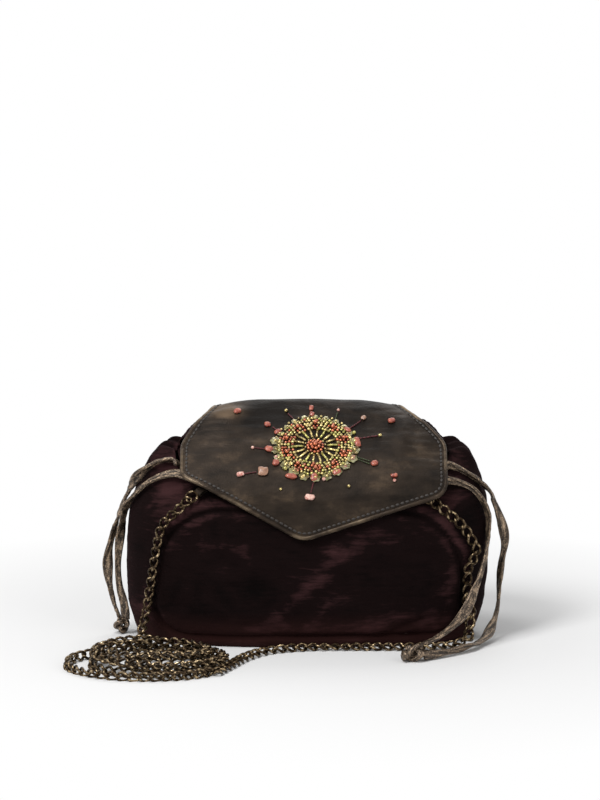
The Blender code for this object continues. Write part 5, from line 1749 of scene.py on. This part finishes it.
@dataclass
class ChainStrap:
    """Curb chain: twisted links of round wire, in two falls, a heap and a run along the front."""

    form: PouchForm
    finishes: Finishes
    pitch: float = 6.6 * MM
    half_length: float = 4.15 * MM
    half_width: float = 2.65 * MM
    wire: float = 0.86 * MM
    curl: float = math.radians(56.0)
    standoff: float = 3.6 * MM
    tab_standoff: float = 2.6 * MM
    ring_reach: float = 5.2 * MM
    ring_half_length: float = 3.6 * MM
    ring_half_width: float = 3.4 * MM
    ring_wire: float = 0.8 * MM
    heap_x: float = -96.0
    heap_y: float = -92.0
    # The pile's turns from its top: turns, half width, half depth, shift to the right and height, in mm
    coil: tuple[tuple[float, ...], ...] = (
        (0.0, 44.0, 33.0, 4.0, 10.2),
        (0.5, 26.0, 17.0, 12.0, 10.6),
        (1.3, 38.0, 27.0, 8.0, 10.2),
        (1.6, 43.0, 31.0, 5.0, 6.8),
        (2.9, 24.0, 15.0, 14.0, 6.6),
        (3.2, 22.0, 13.0, 14.0, 3.0),
        (4.4, 40.0, 29.0, 6.0, 2.7),
        (5.667, 51.0, 39.5, 0.0, 2.6),
    )

    def link_mesh(self) -> bpy.types.Mesh:
        """Make one twisted link round the origin, along X.

        Returns:
            Its mesh, to be copied along the chain.
        """

        def centre(phi: float) -> Vector:
            """Middle of the wire at an angle round the link."""
            roll = self.curl * math.cos(phi)
            across = self.half_width * math.sin(phi)
            along = self.half_length * math.cos(phi)
            return Vector((along, across * math.cos(roll), across * math.sin(roll)))

        def place(u: float, v: float) -> Vector:
            """Point for a share round the link and a share around its wire."""
            phi = 2.0 * math.pi * u
            here = centre(phi)
            ahead = (centre(phi + 0.05) - centre(phi - 0.05)).normalized()
            side = ahead.cross(here).normalized()
            out = side.cross(ahead).normalized()
            turn = 2.0 * math.pi * v
            return here + (out * math.cos(turn) + side * math.sin(turn)) * self.wire

        bm = warped_grid(16, 6, place)
        bmesh.ops.recalc_face_normals(bm, faces=bm.faces)
        mesh = bpy.data.meshes.new("curb_link")
        bm.to_mesh(mesh)
        bm.free()
        return mesh

    def chain(
        self, name: str, points: Sequence[Vector], first_up: Vector, roll: float, wander: float
    ) -> BMesh:
        """Run of links along points.

        Args:
            name: Name of the piece.
            points: One point for each link.
            first_up: Up direction at the start.
            roll: Turn of the links about the chain, in radians.
            wander: How far that turn changes along the chain, in radians.

        Returns:
            The bmesh, before it is finished.
        """
        link = self.link_mesh()
        bm = bmesh.new()
        for i, (place, ahead, side, up) in enumerate(frames_along(points, first_up)):
            turn = roll + wander * noise.noise(Vector((0.22 * i, len(name), 0.0)))
            broad = side * math.cos(turn) + up * math.sin(turn)
            before = len(bm.verts)
            bm.from_mesh(link)
            bm.verts.ensure_lookup_table()
            fresh = bm.verts[before:]
            bmesh.ops.transform(bm, matrix=axes_matrix(place, ahead, broad, ahead.cross(broad)), verts=fresh)
        bpy.data.meshes.remove(link)
        return bm

    def end_ring(self, bm: BMesh, points: Sequence[Vector], first_up: Vector) -> None:
        """Add the ring that joins the chain to its leather tab.

        Args:
            bm: Mesh of the chain.
            points: The chain's points.
            first_up: Up direction at its start.
        """
        here, ahead, side, up = frames_along(points, first_up)[0]
        centre = here - ahead * self.ring_reach
        steps = 24
        loop = []
        for k in range(steps + 1):
            a = 2.0 * math.pi * k / steps
            loop.append(centre + ahead * (self.ring_half_length * math.cos(a))
                        + side * (self.ring_half_width * math.sin(a)))
        for start, end in zip(loop, loop[1:]):
            along = (end - start).normalized()
            matrix = axes_matrix((start + end) * 0.5, up, along.cross(up), along)
            add_shape(bm, bmesh.ops.create_cone, matrix, segments=8, cap_ends=True, radius1=self.ring_wire,
                      radius2=self.ring_wire, depth=(end - start).length * 1.25)

    def heap_points(self) -> list[Vector]:
        """Route of the slack, from the top of the pile down to the floor."""
        route = []
        steps = 36
        for first, last in zip(self.coil, self.coil[1:]):
            count = max(1, round(steps * (last[0] - first[0])))
            for k in range(count):
                turns, width, depth, shift, height = [a + (b - a) * k / count for a, b in zip(first, last)]
                angle = 0.5 * math.pi + 2.0 * math.pi * turns
                wobble = 2.2 * noise.noise(Vector((1.9 * turns, 4.0, 0.0)))
                wobble += 1.2 * noise.noise(Vector((6.0 * turns, 9.0, 0.0)))
                lift = 0.8 * noise.noise(Vector((3.0 * turns, 2.0, 7.0)))
                route.append(Vector((self.heap_x + shift + (width + wobble) * math.cos(angle),
                                     self.heap_y + (depth + wobble) * math.sin(angle),
                                     height + max(lift, 0.0))) * MM)
        return route

    def plated(self, name: str, bm: BMesh, node: str) -> None:
        """Finish a stretch of the chain in brass."""
        finish_piece(name, bm, self.finishes.brass, Body.BAG, "antique_brass", (node,))

    def build(self) -> None:
        """Make every stretch of the chain."""
        for fall in FALLS:
            route = [self.form.held_off(t, math.radians(a), self.standoff if i else self.tab_standoff)
                     for i, (t, a) in enumerate(fall.levels)]
            points = smooth_path(route + [Vector(p) * MM for p in fall.free], self.pitch)
            outward = self.form.normal(fall.levels[0][0], math.radians(fall.levels[0][1]))
            bm = self.chain(fall.name, points, outward, 0.15, 0.5)
            self.end_ring(bm, points, outward)
            self.plated(fall.name, bm, fall.node)
        up = Vector((0.0, 0.0, 1.0))
        heap = self.heap_points()
        bm = self.chain("chain_heap_links", smooth_path(heap, self.pitch), up, 0.5, 1.1)
        self.plated("chain_heap_links", bm, "chain_heap")
        run = [heap[-1] + (heap[-1] - heap[-2]).normalized() * self.pitch]
        run += [Vector(p) * MM for p in FRONT_RUN]
        bm = self.chain("front_chain_run", smooth_path(run, self.pitch), up, 0.3, 0.6)
        self.plated("front_chain_run", bm, "chain_front_run")


@dataclass
class Studio:
    """Pale floor, soft lamps and the camera at the photograph's angle."""

    target: Vector = field(default_factory=lambda: Vector((-0.0033, -0.040, 0.1523)))
    elevation: float = math.radians(10.0)
    distance: float = 3.0
    frame_height: float = 0.480
    shadow_start: float = 0.16
    shadow_end: float = 0.34

    def camera(self) -> None:
        """Place the camera."""
        data = bpy.data.cameras.new("photo_camera")
        data.lens = data.sensor_width * self.distance / self.frame_height
        data.clip_end = 50.0
        camera = bpy.data.objects.new("photo_camera", data)
        away = Vector((0.0, -math.cos(self.elevation), math.sin(self.elevation)))
        camera.location = self.target + away * self.distance
        camera.rotation_euler = (math.pi / 2.0 - self.elevation, 0.0, 0.0)
        bpy.context.scene.collection.objects.link(camera)
        bpy.context.scene.camera = camera

    def lamp(self, name: str, place: tuple[float, float, float], size: float, power: float) -> None:
        """Add a soft lamp that looks at the bag.

        Args:
            name: Name of the lamp.
            place: Where it stands, in metres.
            size: Its width, in metres.
            power: Its power, in watts.
        """
        data = bpy.data.lights.new(name, "AREA")
        data.size = size
        data.energy = power
        lamp = bpy.data.objects.new(name, data)
        lamp.location = place
        aim = Vector((0.0, -0.02, 0.08)) - Vector(place)
        lamp.rotation_euler = aim.to_track_quat("-Z", "Y").to_euler()
        bpy.context.scene.collection.objects.link(lamp)

    def floor(self) -> None:
        """Add the pale floor."""
        made, tree, shader = principled("studio_floor", 0.9, 0.0)
        shader.inputs["Base Color"].default_value = linear("#e9e9e9")
        shader.inputs["Specular IOR Level"].default_value = 0.0
        reach = add_node(tree, "VectorMath", {"operation": "LENGTH"}, {
            0: add_node(tree, "TexCoord").outputs["Object"]})
        far = add_node(tree, "MapRange", inputs={
            "Value": reach.outputs["Value"], "From Min": self.shadow_start, "From Max": self.shadow_end})
        seen = add_node(tree, "Math", {"operation": "MULTIPLY"}, {
            0: add_node(tree, "LightPath").outputs["Is Camera Ray"], 1: far.outputs["Result"]})
        white = add_node(tree, "Emission")
        blend = add_node(tree, "MixShader", inputs={
            0: seen.outputs[0], 1: shader.outputs[0], 2: white.outputs[0]})
        tree.links.new(blend.outputs[0], tree.nodes["Material Output"].inputs["Surface"])
        bm = bmesh.new()
        bmesh.ops.create_grid(bm, x_segments=1, y_segments=1, size=6.0)
        mesh = bpy.data.meshes.new("studio_floor")
        bm.to_mesh(mesh)
        bm.free()
        mesh.materials.append(made)
        floor = bpy.data.objects.new("studio_floor", mesh)
        bpy.context.scene.collection.objects.link(floor)

    def world(self) -> None:
        """Set the even light of a white room."""
        world = bpy.data.worlds.new("white_room")
        world.use_nodes = True
        tree = world.node_tree
        back = tree.nodes["Background"]
        rays = add_node(tree, "LightPath")
        seen = add_node(tree, "Math", {"operation": "MAXIMUM"}, {
            0: rays.outputs["Is Camera Ray"], 1: rays.outputs["Is Glossy Ray"]})
        strength = add_node(tree, "MapRange", inputs={
            "Value": seen.outputs[0], "To Min": 0.38, "To Max": 1.0})
        back.inputs["Color"].default_value = (1.0, 1.0, 1.0, 1.0)
        tree.links.new(strength.outputs["Result"], back.inputs["Strength"])
        bpy.context.scene.world = world

    def build(self) -> None:
        """Set up the studio."""
        bpy.context.scene.view_settings.view_transform = "Standard"
        self.camera()
        self.floor()
        self.world()
        self.lamp("key_lamp", (-0.9, -1.1, 1.5), 0.6, 22.0)
        self.lamp("fill_lamp", (1.2, -1.2, 0.8), 1.0, 4.5)
        self.lamp("top_lamp", (-0.35, -0.3, 1.4), 0.35, 4.5)
        self.lamp("rim_lamp", (0.2, 1.2, 1.6), 0.9, 7.0)


def dress_kept_nodes(frame: dict[str, Any], finishes: Finishes) -> None:
    """Give the CAD nodes that stay their finishes.

    Args:
        finishes: The bag's finishes.
    """
    for name in ("chain_tab_left", "chain_tab_right"):
        for slot in frame["nodes"][name].material_slots:
            slot.material = finishes.leather


def main() -> None:
    """Build the whole bag round the CAD frame."""
    logging.basicConfig(level=logging.INFO, format="%(message)s")
    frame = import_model()
    Studio().build()
    finishes = Finishes()
    form = PouchForm()
    Drawstrings(form, finishes).build()
    VelvetBody(form, finishes).build()
    MouthCasing(form, finishes).build()
    SatinLining(form, finishes).build()
    flap = FlapForm(form)
    LeatherFlap(flap, finishes).build()
    Sunburst(flap, finishes).build()
    ChainStrap(form, finishes).build()
    dress_kept_nodes(frame, finishes)


if __name__ == "__main__":
    main()
